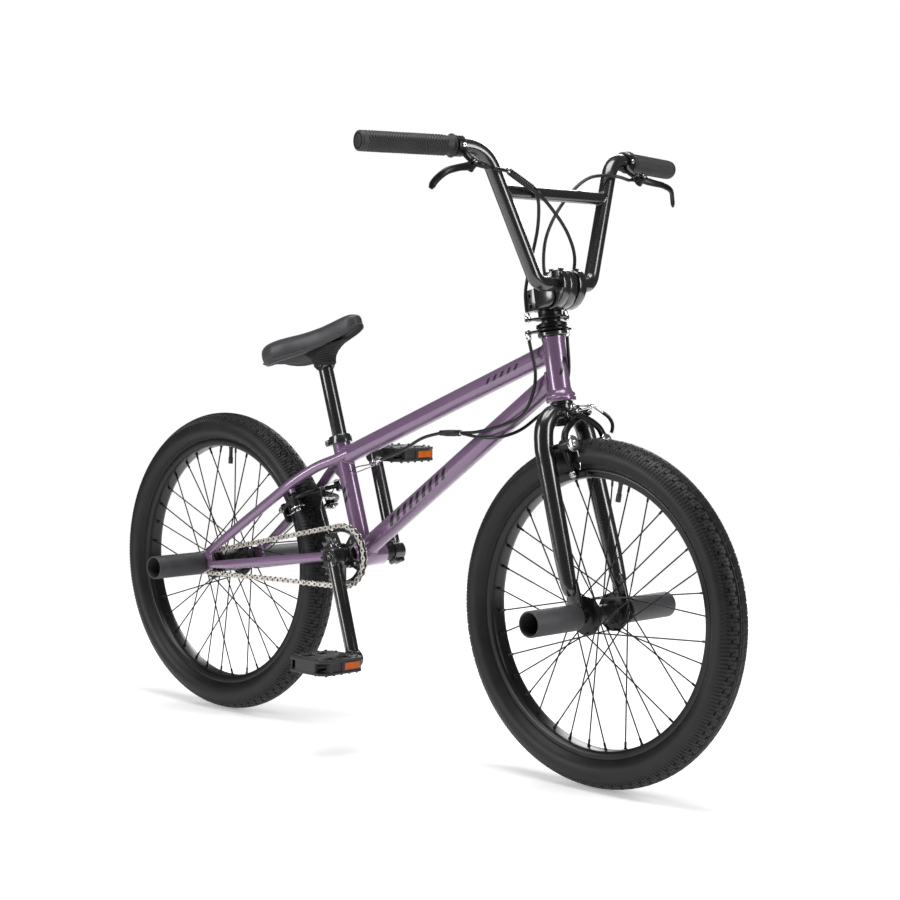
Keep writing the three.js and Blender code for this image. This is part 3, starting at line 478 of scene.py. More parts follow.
PEG = surface("peg_texture", (0.045, 0.044, 0.048), 0.55, metallic=0.25, tint=0.2, tint_scale=50,
              rough_spread=0.1, grain="pebble", grain_scale=750, grain_height=0.3, grain_strength=0.55)
STEEL = surface("bright_steel", (0.62, 0.62, 0.63), 0.24, metallic=1.0, tint=0.1, tint_scale=70,
                rough_spread=0.08, grain_scale=1800, grain_height=0.01, grain_strength=0.2)
CHROME = surface("polished_steel", (0.78, 0.78, 0.79), 0.12, metallic=1.0, tint=0.05, tint_scale=60,
                 rough_spread=0.04, grain_strength=0.0)
CHAIN_OUTER = surface("chain_nickel", (0.8, 0.76, 0.71), 0.26, metallic=0.7, tint=0.14, tint_scale=90,
                      rough_spread=0.1, grain_scale=1200, grain_height=0.02, grain_strength=0.2)
CHAIN_INNER = surface("chain_dark", (0.06, 0.045, 0.035), 0.42, metallic=1.0, tint=0.2, tint_scale=90,
                      rough_spread=0.1, grain_scale=1200, grain_height=0.02, grain_strength=0.2)
RESIN = surface("moulded_resin", (0.02, 0.02, 0.021), 0.5, tint=0.15, tint_scale=40, rough_spread=0.07,
                grain="pebble", grain_scale=1100, grain_height=0.06, grain_strength=0.3)
REFLECTOR = surface("orange_reflector", (0.55, 0.105, 0.008), 0.3, coat=0.15, tint=0.15, tint_scale=120,
                    rough_spread=0.04, grain="pebble", grain_scale=420, grain_height=0.5,
                    grain_strength=0.6, specular=0.2)
COVER = surface("saddle_vinyl", (0.028, 0.028, 0.033), 0.46, tint=0.12, tint_scale=18, rough_spread=0.06,
                grain="pebble", grain_scale=1000, grain_height=0.09, grain_strength=0.35, sheen=0.12)
STITCH = surface("seam_thread", (0.05, 0.05, 0.055), 0.7, tint=0.2, tint_scale=200, grain_scale=2500,
                 grain_height=0.05, grain_strength=0.4)
DECAL = surface("decal_black", (0.006, 0.006, 0.007), 0.3, coat=0.4, tint=0.1, tint_scale=50,
                grain_strength=0.05)
# Brake pads, and also the colour under the saddle, where its near-black is partly painted shade.
PAD_AND_SADDLE_SHADE = surface("brake_pad_and_saddle_shade", (0.009, 0.009, 0.0095), 0.8, tint=0.2, tint_scale=90, grain_scale=1500,
              grain_height=0.08, grain_strength=0.4)

# ---------------------------------------------------------------- frame tubes

TOP_START = np.array([-126.5, 0, 448.5])
TOP_END = np.array([309.5, 0, 628.5])
DOWN_START = np.array([-77.5, 0, 301])
DOWN_END = np.array([325.5, 0, 595])
TOP_RADIUS, DOWN_RADIUS, SEAT_RADIUS = 14.5, 15.5, 14.5
HEAD_TUBE = (HEAD_BOTTOM, STEER_Z, 16.5)
SEAT_TUBE = (BB, SEAT_AXIS, SEAT_RADIUS)
BB_TUBE = (BB, ACROSS, 20.0)


def slanted_bars(shape, start, end, radius, near, count, width, pitch, spread, lean):
    """Plain slanted bars laid on both sides of a tube, standing in for its decals."""
    along = unit(np.asarray(end, float) - start)
    height = radius + 0.12
    for side in (-1, 1):
        out, up = square_to(along, ACROSS * side)
        if up[2] < 0:
            up = -up
        for i in range(count):
            rows = []
            for share in np.linspace(-1, 1, 9):
                angle = rad(share * spread)
                middle = near + i * pitch + share * lean
                rim = out * math.cos(angle) * height + up * math.sin(angle) * height
                rows.append([start + along * (middle + way * width / 2) + rim for way in (-1, 1)])
            shape.grid(rows, wrap_v=False, slot=1)


def thin_plate(shape, outline, thickness):
    """A gusset plate in the bike's middle plane."""
    shape.prism(outline, lambda u, v, h: np.array([u, (h - 0.5) * thickness, v]))


head = Shape()
head.hoop([[15.3, 1], [19.2, 0.2], [21.4, 0], [22, 1], [22, 5], [21.2, 6], [21.2, 7.2], [21.8, 8.2], [21.2, 10.5],
           [19, 13.5], [17.3, 16.5], [16.5, 20], [16.5, 88], [16.9, 90], [17.3, 92], [17.3, 95.2], [16.6, 96],
           [15.3, 96]], HEAD_BOTTOM, STEER_Z, sides=72)
# Two plain bars lean together on the front of the head tube, in place of a badge.
BADGE_RADIUS, BADGE_LOW, BADGE_HIGH = 16.65, 38, 64
for way in (-1, 1):
    rows = []
    for share in np.linspace(0, 1, 9):
        z = BADGE_LOW + (BADGE_HIGH - BADGE_LOW) * share
        angle = rad(way * 17.5 - (share - 0.5) * 34 * way)
        rows.append([S(BADGE_RADIUS * math.cos(angle + d), BADGE_RADIUS * math.sin(angle + d), z)
                     for d in (-0.16, 0, 0.16)])
    head.grid(rows, wrap_v=False, slot=1)
make("head_tube_shell", head, "frame", [MAUVE, DECAL], ["head_tube"])

top = Shape()
for ring in mitred(top, TOP_START, TOP_END, TOP_RADIUS, HEAD_TUBE, SEAT_TUBE):
    bead(top, ring)
slanted_bars(top, TOP_START, TOP_END, TOP_RADIUS, near=352, count=5, width=6, pitch=15, spread=15, lean=4)
make("top_tube_shell", top, "frame", [MAUVE, DECAL], ["top_tube"])

down = Shape()
for ring in mitred(down, DOWN_START, DOWN_END, DOWN_RADIUS, (HEAD_BOTTOM, STEER_Z, 18.2), BB_TUBE):
    bead(down, ring)
slanted_bars(down, DOWN_START, DOWN_END, DOWN_RADIUS, near=96, count=9, width=8, pitch=17, spread=27, lean=6)
# A gusset fills the corner behind the head tube.
thin_plate(down, [(286, 570), (322, 596), (309, 600), (291, 586)], 4)
make("down_tube_shell", down, "frame", [MAUVE, DECAL], ["down_tube"])

seat_shell = Shape()
seat_shell.hoop([[14.5, 24], [14.5, 190], [14.9, 194], [14.9, 195.4], [14.4, 196], [12.7, 196], [12.7, 24]],
                BB, SEAT_AXIS, sides=56)
seat_shell.sweep([seat_point(18), seat_point(30)], SEAT_RADIUS, 40)
bead(seat_shell, mitred(Shape(), BB + SEAT_AXIS * 120, BB + SEAT_AXIS * 5, SEAT_RADIUS, BB_TUBE)[1])
slanted_bars(seat_shell, BB, seat_point(196), SEAT_RADIUS, near=92, count=2, width=7, pitch=15, spread=26, lean=5)
# A small gusset stands behind the seat tube under the junction.
thin_plate(seat_shell, [(-138.8, 446), (-155, 434), (-142, 420), (-128.4, 412)], 5)
make("seat_tube_shell", seat_shell, "frame", [MAUVE, DECAL], ["seat_tube"])

shell = Shape()
shell.hoop([[17.4, -35], [19.4, -35], [20, -34.2], [20, 34.2], [19.4, 35], [17.4, 35]], BB, ACROSS,
           sides=60)
make("bb_shell_tube", shell, "frame", MAUVE, ["bb_shell"])

# Each seat stay starts inside the top tube and passes beside the seat tube.
STAY_ROOT = [(-92, 3, 463), (-113, 8.4, 454)]
SEAT_STAY = [(-133, 13, 445), (-165, 21, 432), (-195, 31, 413.5), (-220, 39.5, 395), (-257, 46, 368),
             (-359, 59, 296), (-390, 62, 274)]
CHAIN_STAY = [(-84, 25, 295.5), (-127, 34, 290), (-187, 43, 281), (-262, 51, 270), (-340, 58.5, 259),
              (-384, 62, 254.5)]


def rear_dropout(shape, side):
    """The plate at the end of a chain stay, with a slot for the axle."""
    x, z = REAR_AXLE[0], REAR_AXLE[2]
    outline = arc(x, z, 15, 96, 270, 16) + [(x + 14, z - 13), (x + 25, z - 9), (x + 31, z - 4), (x + 32, z + 7),
                                            (x + 27, z + 23), (x + 20, z + 26), (x + 8, z + 19)]
    slot_hole = arc(x + 2, z, 6.8, -90, 90, 8) + arc(x - 2, z, 6.8, 90, 270, 8)
    middle = side * 57.3
    shape.plate([outline, slot_hole], 6, lambda u, v, h: np.array([u, middle + h, v]), bevel=0.8)


for side, s in SIDES:
    stay = Shape()
    route = flowing([(x, s * y, z) for x, y, z in STAY_ROOT + SEAT_STAY], 70)
    stay.sweep(route, changing(70, [0, 0.1, 0.25, 0.8, 0.97, 1], [7.5, 8.2, 8.2, 8, 6.2, 4.2]), 28)
    for t, radius in ((-14, 5.5), (0, 5)):
        stay.rod(REAR_BRAKE(s * PIVOT_Y, PIVOT_OUT, t - 2), REAR_BRAKE(s * PIVOT_Y, PIVOT_OUT, t - 9), radius, 18)
    make(f"seat_stay_{side}_tube", stay, "frame", MAUVE, [f"seat_stay_{side}"])

    stay = Shape()
    route = flowing([(x, s * y, z) for x, y, z in CHAIN_STAY], 60)
    stay.sweep(route, changing(60, [0, 0.8, 0.97, 1], [8, 8, 6.2, 4.2]), 28, hint=ACROSS,
               flat=changing(60, [0, 0.15, 0.3, 0.5, 0.62, 1], [1, 1, 0.78, 0.78, 1, 1]))
    bead(stay, mitred(Shape(), route[6], route[0], 8, BB_TUBE)[1], 1.8)
    rear_dropout(stay, s)
    make(f"chain_stay_{side}_tube", stay, "frame", MAUVE, [f"chain_stay_{side}"])

# ---------------------------------------------------------------- headset and gyro

cup = Shape()
cup.hoop([[15, 1], [18.8, 1], [18.8, 6.5], [18, 7.5], [15, 7.5]], HEAD_BOTTOM, STEER_Z)
make("lower_headset_race", cup, "frame", STEEL, ["headset_bearing_lower"])
cup = Shape()
cup.hoop([[15, 96.4], [20.6, 96.4], [21.8, 97.6], [21.8, 101.6], [20.4, 103.2], [17, 103.9], [15, 103.9]],
         HEAD_BOTTOM, STEER_Z, sides=64)
make("upper_headset_cup", cup, "frame", GLOSS, ["headset_bearing_upper"])

LOWER_EARS = ((-26, -24), (5, 26))
UPPER_EARS = ((-18, -30), (4, 30))


def adjuster(shape, ear, base, tip):
    """A barrel adjuster: flange, knurled barrel and cable mouth, along the steering axis."""
    way = 1 if tip > base else -1
    length = abs(tip - base)
    profile = [[0, -5.5], [2.6, -5.5], [2.6, 0], [4.6, 0.4], [4.6, 2.4], [3.3, 2.8], [3.6, 3.6],
               [3.6, length - 1.4], [3, length], [2.1, length], [0, length]]
    knurl = lambda a, h: 0.28 * math.cos(a * 14) if 3 < h < length - 0.8 else 0
    shape.lathe(profile, S(*ear, base), STEER_Z * way, sides=56, slot=1, wave=knurl)
    shape.nut(S(*ear, base - way * 4.2), STEER_Z * way, 4.4, 2.6, slot=1)


def gyro_plate(name, low, high, ears, tip, body, node, spacer=None):
    """A gyro plate with two ears, each of which holds a barrel adjuster."""
    piece = Shape()
    outline = []
    for angle in np.linspace(0, 360, 72, endpoint=False):
        a = rad(angle)
        reach = 24.0
        for x, y in ears:
            away = abs((a - math.atan2(y, x) + math.pi) % (2 * math.pi) - math.pi)
            reach = max(reach, math.hypot(x, y) + 4.4 if away < 0.1 else 24 + 14 * max(0, 1 - away / 0.42))
        outline.append((reach * math.cos(a), reach * math.sin(a)))
    middle = (low + high) / 2
    bore = [(15.2 * math.cos(a), 15.2 * math.sin(a)) for a in np.linspace(0, 2 * math.pi, 48, endpoint=False)]
    piece.plate([outline, bore], high - low, lambda u, v, h: S(u, v, middle + h), bevel=0.5)
    for ear in ears:
        adjuster(piece, ear, high if tip > high else low, tip)
    if spacer:
        piece.hoop(spacer, HEAD_BOTTOM, STEER_Z, sides=64)
    make(name, piece, body, [ALLOY, CHROME], [node])


gyro_plate("gyro_lower_ring", 104.4, 107.4, LOWER_EARS, 95, "frame", "gyro_lower_plate")
gyro_plate("gyro_upper_ring", 122.3, 125, UPPER_EARS, 134, "fork", "gyro_upper_plate",
           [[15.2, 125], [17.2, 125], [17.5, 125.6], [17.5, 134], [17.2, 134.6], [15.2, 134.6]])
bearing = Shape()
bearing.hoop([[15.2, 109.6], [22.2, 109.6], [23, 110.4], [23, 112], [22, 112.6], [22, 113.2], [22.8, 113.8],
              [22.8, 114.4], [21.6, 115], [18.6, 115], [18, 116.8], [15.2, 117]], HEAD_BOTTOM, STEER_Z,
             sides=64)
make("gyro_floating_bearing", bearing, "gyro", ALLOY, ["gyro_bearing"])

# ---------------------------------------------------------------- fork

steerer = Shape()
steerer.hoop([[11.2, -35], [13.4, -35.6], [14.2, -35], [14.2, -5], [16.8, -4], [17, -1.2], [16.4, -0.7], [14.2, -0.5],
              [14.2, 171], [13.6, 172], [11.2, 172]], HEAD_BOTTOM, STEER_Z, sides=56)
make("steerer_tube", steerer, "fork", GLOSS, ["fork_steerer"])

for side, s in SIDES:
    leg = Shape()
    bend = flowing([S(0, s * 8, -17), S(0, s * 26, -20), S(-1, s * 43, -36), S(-1, s * 50, -64),
                    S(1, s * 51, -92)], 44)
    straight = [bend[-1] + (S(19, s * 57, -283) - bend[-1]) * t for t in np.linspace(0, 1, 40)[1:]]
    route = np.array(list(bend) + straight)
    leg.sweep(route, changing(len(route), [0, 0.5, 0.86, 0.96, 0.99, 1], [14, 14, 13.4, 11.6, 9, 5]), 40)
    bead(leg, mitred(Shape(), route[10], route[0], 13.8, (HEAD_BOTTOM, STEER_Z, 14.6))[1], 2.0)
    outline = arc(RAKE, AXLE_DROP, 14, 180, 360, 18)
    outline += [(RAKE + 12, -284), (RAKE + 9, -264), (RAKE + 2, -252), (RAKE - 6, -252), (RAKE - 11, -266)]
    hole = arc(RAKE, AXLE_DROP, 6.8, 0, 345, 20)
    leg.plate([outline, hole], 6, lambda u, v, h: S(u, s * 52.3 + h, v), bevel=0.8)
    leg.rod(FRONT_BRAKE(s * PIVOT_Y, PIVOT_OUT, 2), FRONT_BRAKE(s * PIVOT_Y, PIVOT_OUT, FRONT_PIVOT_T - 12.8),
            5, 20)
    make(f"fork_leg_{side}_tube", leg, "fork", GLOSS, [f"fork_leg_{side}"])

# ---------------------------------------------------------------- stem

BAR_X, BAR_Z, BAR_RADIUS = 35, 167, 11.1


stem = Shape()
front_outline = [(-2, 136.4), (20, 136), (27, 138), (32.5, 143), (34.6, 148), (34.8, 186.4), (30, 188), (20, 187),
                 (9, 183), (0, 177), (-2, 174)]
stem.plate([front_outline], 51, lambda u, v, h: S(u, h, v), bevel=4.5)
stem.hoop([[14.8, 135.4], [18.6, 135.4], [19.8, 136.8], [19.8, 169], [18.6, 171.6], [16.8, 172.4], [14.8, 172.4]],
          HEAD_BOTTOM, STEER_Z, sides=56)
for s in (-1, 1):
    stem.plate([[(-32.6, 137.5), (-12, 136.5), (-12, 170), (-32.6, 169)]], 12.5,
               lambda u, v, h: S(u, s * 8.2 + h, v), bevel=2.4)
for z in (145, 161):
    stem.bolt(S(-25.5, 14.3, z), ACROSS, 4.2, 3.4, slot=1)
    stem.nut(S(-25.5, -14.3, z), -ACROSS, 4.6, 3, slot=1)
stem.hoop([[4, 172.6], [15.2, 172.6], [15.9, 173.6], [15.2, 175.6], [12, 176], [5, 176], [4, 175]], HEAD_BOTTOM,
          STEER_Z, sides=48)
for y in (-17, 17):
    stem.bolt(S(28, y, 186.2), STEER_Z + STEER_X * 0.12, 4.4, 4, slot=1)
make("stem_body", stem, "fork", [GLOSS, ALLOY], ["stem"])

plate = Shape()
face_outline = [(35.9, 147.4), (34.6, 143), (29, 137.4), (21, 135.4), (21, 131.8), (31, 132.6), (40, 137),
                (48, 144.4), (54, 153.4), (56.6, 164), (56, 174.5), (52, 182.6), (44, 187), (35.9, 187.8)]
for y0, y1 in ((-25.6, -9.6), (-8.6, 8.6), (9.6, 25.6)):
    middle = (y0 + y1) / 2
    inset = 2.2 if middle == 0 else 0  # the middle rib stands back from the outer two
    rib = [(u - inset * (u > 40), v) for u, v in face_outline]
    plate.plate([rib], y1 - y0, lambda u, v, h: S(u, middle + h, v), bevel=2.2)
for y in (-17, 17):
    plate.bolt(S(45, y, 185.6), STEER_Z + STEER_X * 0.35, 4.2, 3.2, slot=1)
make("stem_front_cap", plate, "fork", [GLOSS, ALLOY], ["stem_faceplate"])

# ---------------------------------------------------------------- handlebar, grips and levers

GRIP_INNER = np.array([26.5, 194, 361.3])
GRIP_OUTER = np.array([-8.3, 343, 366.6])
BAR_LOW = np.array([33, 59.5, BAR_Z])
BAR_HIGH = GRIP_INNER + (GRIP_OUTER - GRIP_INNER) * -0.356
GRIP_RADIUS = 15
CROSSBAR_Z, CROSSBAR_RADIUS = 298.5, 9.5
PIVOT = (54, 188, 328)  # the brake lever's pivot


def ofside(p, s):
    return S(p[0], s * p[1], p[2])


def flow_on(s, count, *points):
    """A route on one side of the bike, through points of the steering frame."""
    return flowing([ofside(p, s) for p in points], count)


bar = Shape()
route = rounded([(BAR_X, 0, BAR_Z), (BAR_X, 25, BAR_Z), BAR_LOW, BAR_HIGH, GRIP_OUTER], steps=14, reach=34)
full = [ofside(p, -1) for p in route[::-1]] + [ofside(p, 1) for p in route[1:]]
bar.sweep(full, BAR_RADIUS, 32)
share = (CROSSBAR_Z - BAR_LOW[2]) / (BAR_HIGH[2] - BAR_LOW[2])
cross = BAR_LOW + (BAR_HIGH - BAR_LOW) * share
uprights = [(ofside(cross, s), unit(ofside(BAR_HIGH, s) - ofside(BAR_LOW, s)), BAR_RADIUS) for s in (-1, 1)]
for ring in mitred(bar, ofside(cross, -1), ofside(cross, 1), CROSSBAR_RADIUS, uprights[1], uprights[0], sides=32):
    bead(bar, ring, 1.7)
make("handlebar_tube", bar, "fork", GLOSS, ["handlebar"])

for side, s in SIDES:
    inner, outer = ofside(GRIP_INNER, s), ofside(GRIP_OUTER, s)
    along = unit(outer - inner)
    length = np.linalg.norm(outer - inner)
    grip = Shape()
    first, second = square_to(along)
    rows = []
    for i in range(96):
        a = i * 2 * math.pi / 96
        out = first * math.cos(a) + second * math.sin(a)
        ring = [inner + out * 11.4]
        for h in np.linspace(0, length - 1, 210):
            r = GRIP_RADIUS - 0.5
            if h < 3.6:
                r = GRIP_RADIUS + 2.2 - 0.8 * abs(h - 1.8)
            elif h < 14:
                r = GRIP_RADIUS - 1.2
            elif h < length - 10:
                swirl = math.sin(h * 1.5 + 4.2 * math.cos(a * 3) + 2.4 * math.sin(h * 0.11))
                r = GRIP_RADIUS - 1.0 + 0.85 * swirl
            elif h > length - 3:
                r = GRIP_RADIUS - 0.3 - (h - length + 3) * 0.5
            ring.append(inner + along * h + out * r)
        ring.append(inner + along * (length - 0.2) + out * 10)
        ring.append(inner + along * (length - 0.2) + out * 0.01)
        rows.append(ring)
    grip.grid(rows, wrap_u=True, wrap_v=False)
    grip.lathe([[0, length - 0.6], [8.6, length - 0.6], [8.6, length + 0.1], [7.6, length + 0.3], [0, length + 0.3]],
               inner, along, sides=40, slot=1)
    make(f"grip_{side}_sleeve", grip, "fork", [GRIP, RESIN], [f"grip_{side}"], crease=80)

    # The clamp hinges round the bar and its arm holds the lever and the cable's adjuster.
    clamp = Shape()
    at = inner - along * 9
    clamp.hoop([[11.5, -6], [14.2, -6], [15, -5.2], [15, 5.2], [14.2, 6], [11.5, 6]], at, along, sides=48)
    down_out = unit(ofside((40, 180, 346), s) - at)
    clamp.rod(at - down_out * 12 - along * 4.6, at - down_out * 12 + along * 4.6, 4, 16)
    forward = square_to(along, STEER_X)[0]
    clamp.bolt(at + forward * 13.4 + down_out * 3, forward, 3, 2.4, slot=1)
    arm = flowing([at + down_out * 10] + [ofside(p, s) for p in ((40, 180, 344), (48, 181, 336), (54, 184, 330))], 20)
    clamp.sweep(arm, np.linspace(7, 5.4, 20), 20, flat=0.75, hint=STEER_Z)
    barrel = flow_on(s, 12, (50, 181, 333), (57, 176, 329), (59, 166, 326.4))
    clamp.sweep(barrel, np.linspace(5.2, 4.4, 12), 20)
    mouth = ofside((59, 167, 326.6), s)
    clamp.lathe([[0, 0], [3.4, 0], [3.6, 0.6], [3.6, 5], [3, 5.6], [3, 8.6], [2.6, 9.2], [0, 9.2]], mouth,
                ofside((60, 158, 325), s) - mouth, sides=48,
                wave=lambda a, h: 0.25 * math.cos(a * 12) if 0.3 < h < 5.2 else 0)
    axis = unit(STEER_X * 0.866 + STEER_Z * 0.5)
    pivot = ofside(PIVOT, s)
    for way in (-1, 1):
        ear = pivot + axis * way * 7.0
        clamp.lathe([[0, -1.1], [6.6, -1.1], [6.6, 1.1], [0, 1.1]], ear, axis, sides=32)
        clamp.sweep([ear, arm[12] + axis * way * 2.5], 3.0, 12)
    clamp.bolt(pivot + axis * 8, axis, 3.2, 2.2, slot=1)
    make(f"lever_clamp_{side}_body", clamp, "fork", [ALLOY, STEEL], [f"lever_clamp_{side}"])

    blade = Shape()
    route = flow_on(s, 44, PIVOT, (60, 208, 323), (63, 230, 319), (60, 251, 313), (51, 264, 302), (46, 270, 292))
    widths = changing(44, [0, 0.12, 0.4, 0.75, 0.95, 1], [5.2, 6, 5, 5.2, 5.2, 3])
    blade.sweep(route, widths, 20, flat=0.62, hint=square_to(route[20] - route[10], STEER_X)[0])
    blade.lathe([[0, -5], [6.2, -5], [6.2, 5], [0, 5]], pivot, axis, sides=32)
    blade.rod(pivot + ofside((3, -7, 2), s) - ofside((0, 0, 0), s), pivot, 3.4, 14)
    make(f"brake_lever_{side}_blade", blade, f"lever_{side}", ALLOY, [f"brake_lever_{side}"])

# ---------------------------------------------------------------- wheels

TYRE_PROFILE = [(204, 13.4), (207, 13.8), (209.8, 15.4), (213, 20.6), (217.5, 25.6), (223, 28.2), (229, 28.9),
                (235, 27.6), (241, 24.2), (246, 19.4), (249.8, 13.8), (252.3, 7.6), (253.4, 2.6), (253.5, 0)]
RIBS = 264
ROUND = RIBS * 6  # points round the tyre: six for each rib
TREAD_STEP, WALL_STEP = 1.25, 4.0
TREAD_EDGE, TREAD_FLOOR = 24.5, 232


def tyre_outline():
    """Points of the outside of the tyre from bead to bead, close together on the tread, with normals."""
    half = [np.array([y, 0, r]) for r, y in TYRE_PROFILE]
    whole = half + [p * np.array([-1, 1, 1]) for p in half[-2::-1]]
    dense = flowing(whole, 1201)[:, [2, 0]]
    kept = [0]
    since = 0.0
    for k in range(1, len(dense)):
        since += np.linalg.norm(dense[k] - dense[k - 1])
        on_tread = abs(dense[k][1]) < TREAD_EDGE + 2 and dense[k][0] > TREAD_FLOOR
        if since > (TREAD_STEP if on_tread else WALL_STEP) or k == len(dense) - 1:
            kept.append(k)
            since = 0.0
    line = dense[kept]
    ahead = np.gradient(line, axis=0)
    ahead /= np.linalg.norm(ahead, axis=1)[:, None]
    normal = np.stack([ahead[:, 1], -ahead[:, 0]], axis=1)
    if normal[len(line) // 2][0] < 0:
        normal = -normal
    return line, normal


def tyre_shape():
    """Fine cross ribs with rows of small square pits, and two grooves on each side of the crown."""
    line, normal = tyre_outline()
    angles = np.arange(ROUND) * 2 * math.pi / ROUND
    phase = np.arange(ROUND) % 6
    number = (np.arange(ROUND) // 6) % 3
    rib = np.where(phase < 2, -1.3, 0.0)
    rows = np.zeros((ROUND, len(line), 3))
    for j, ((r, y), n) in enumerate(zip(line, normal)):
        side = abs(y)
        lift = np.zeros(ROUND)
        if r > TREAD_FLOOR:
            if side < 2.6:
                lift += np.where((number == 0) & (phase < 3), -1.0, 0.0)
            elif side < 3.9 or 6.4 < side < 7.7:
                lift -= 1.4
            elif 7.7 <= side < TREAD_EDGE:
                lift += rib
            for near, which in ((10.9, 0), (18.5, 1)):
                if abs(side - near) < 1.5:
                    lift = np.where(number == which, -2.4, np.where(phase < 2, -0.3, 0.0))
        if TREAD_EDGE <= side < 27.2 and r > TREAD_FLOOR - 4:
            lift += rib * 0.5
        if 28.3 < side and abs(r - 229) < 1.2:
            lift += 0.2
        rows[:, j, 0] = (r + n[0] * lift) * np.cos(angles)
        rows[:, j, 1] = y + n[1] * lift
        rows[:, j, 2] = (r + n[0] * lift) * np.sin(angles)
    inside = [(204, -10.8), (209.8, -11.2), (222, -24.6), (236, -23.2), (247.5, -9), (247.5, 9), (236, 23.2),
              (222, 24.6), (209.8, 11.2), (204, 10.8)]
    inner = np.zeros((ROUND, len(inside), 3))
    for j, (r, y) in enumerate(inside):
        inner[:, j] = np.stack([r * np.cos(angles), np.full(ROUND, y), r * np.sin(angles)], axis=1)
    return np.concatenate([rows, inner], axis=1)


TYRE_ROWS = tyre_shape()
RIM_PROFILE = [[209, 14.3], [209.2, 15.4], [208.4, 16], [206, 16], [204.6, 15.6], [200.5, 15.6], [199, 14.6],
               [197.2, 11], [196.6, 6], [196.6, -6], [197.2, -11], [199, -14.6], [200.5, -15.6], [204.6, -15.6],
               [206, -16], [208.4, -16], [209.2, -15.4], [209, -14.3], [206, -13.8], [202.4, -12], [202.4, 12],
               [206, 13.8]]
HUBS = {
    "front": [[7.2, -48.8], [9.4, -48.8], [10, -48], [10, -37], [12.5, -34.5], [16, -33.3], [27, -33],
              [28, -32.2], [28, -29.9], [27, -29.2], [17, -28.6], [14.6, -26], [13.4, -20], [13, 0], [13.4, 20],
              [14.6, 26], [17, 28.6], [27, 29.2], [28, 29.9], [28, 32.2], [27, 33], [16, 33.3], [12.5, 34.5],
              [10, 37], [10, 48], [9.4, 48.8], [7.2, 48.8]],
    "rear": [[7.2, -35.8], [17, -35.8], [18, -34.8], [18, -33.3], [27, -33], [28, -32.2], [28, -29.9],
             [27, -29.2], [21, -28.4], [19.4, -25], [18.4, -10], [18.4, 10], [19.4, 25], [21, 28.4], [27, 29.2],
             [28, 29.9], [28, 32.2], [27, 33], [16, 34], [12, 38], [11, 40], [11, 53], [10.2, 53.8], [7.2, 53.8]],
}
# Name, axle, angle of the valve, half the hub's width over its locknuts, body, and the body that holds the axle.
WHEELS = (("front", FRONT_AXLE, 80, 49, "front_wheel", "fork"),
          ("rear", REAR_AXLE, 88, 54, "rear_wheel", "frame"))
SPOKES = 36
FLANGE_RADIUS, NIPPLE_RADIUS = 25, 195.8  # where a spoke starts on the hub and ends at the rim
PEG_RADIUS, PEG_LENGTH = 19, 100


def wheel_point(axle, radius, angle, y):
    return axle + np.array([radius * math.cos(angle), y, radius * math.sin(angle)])


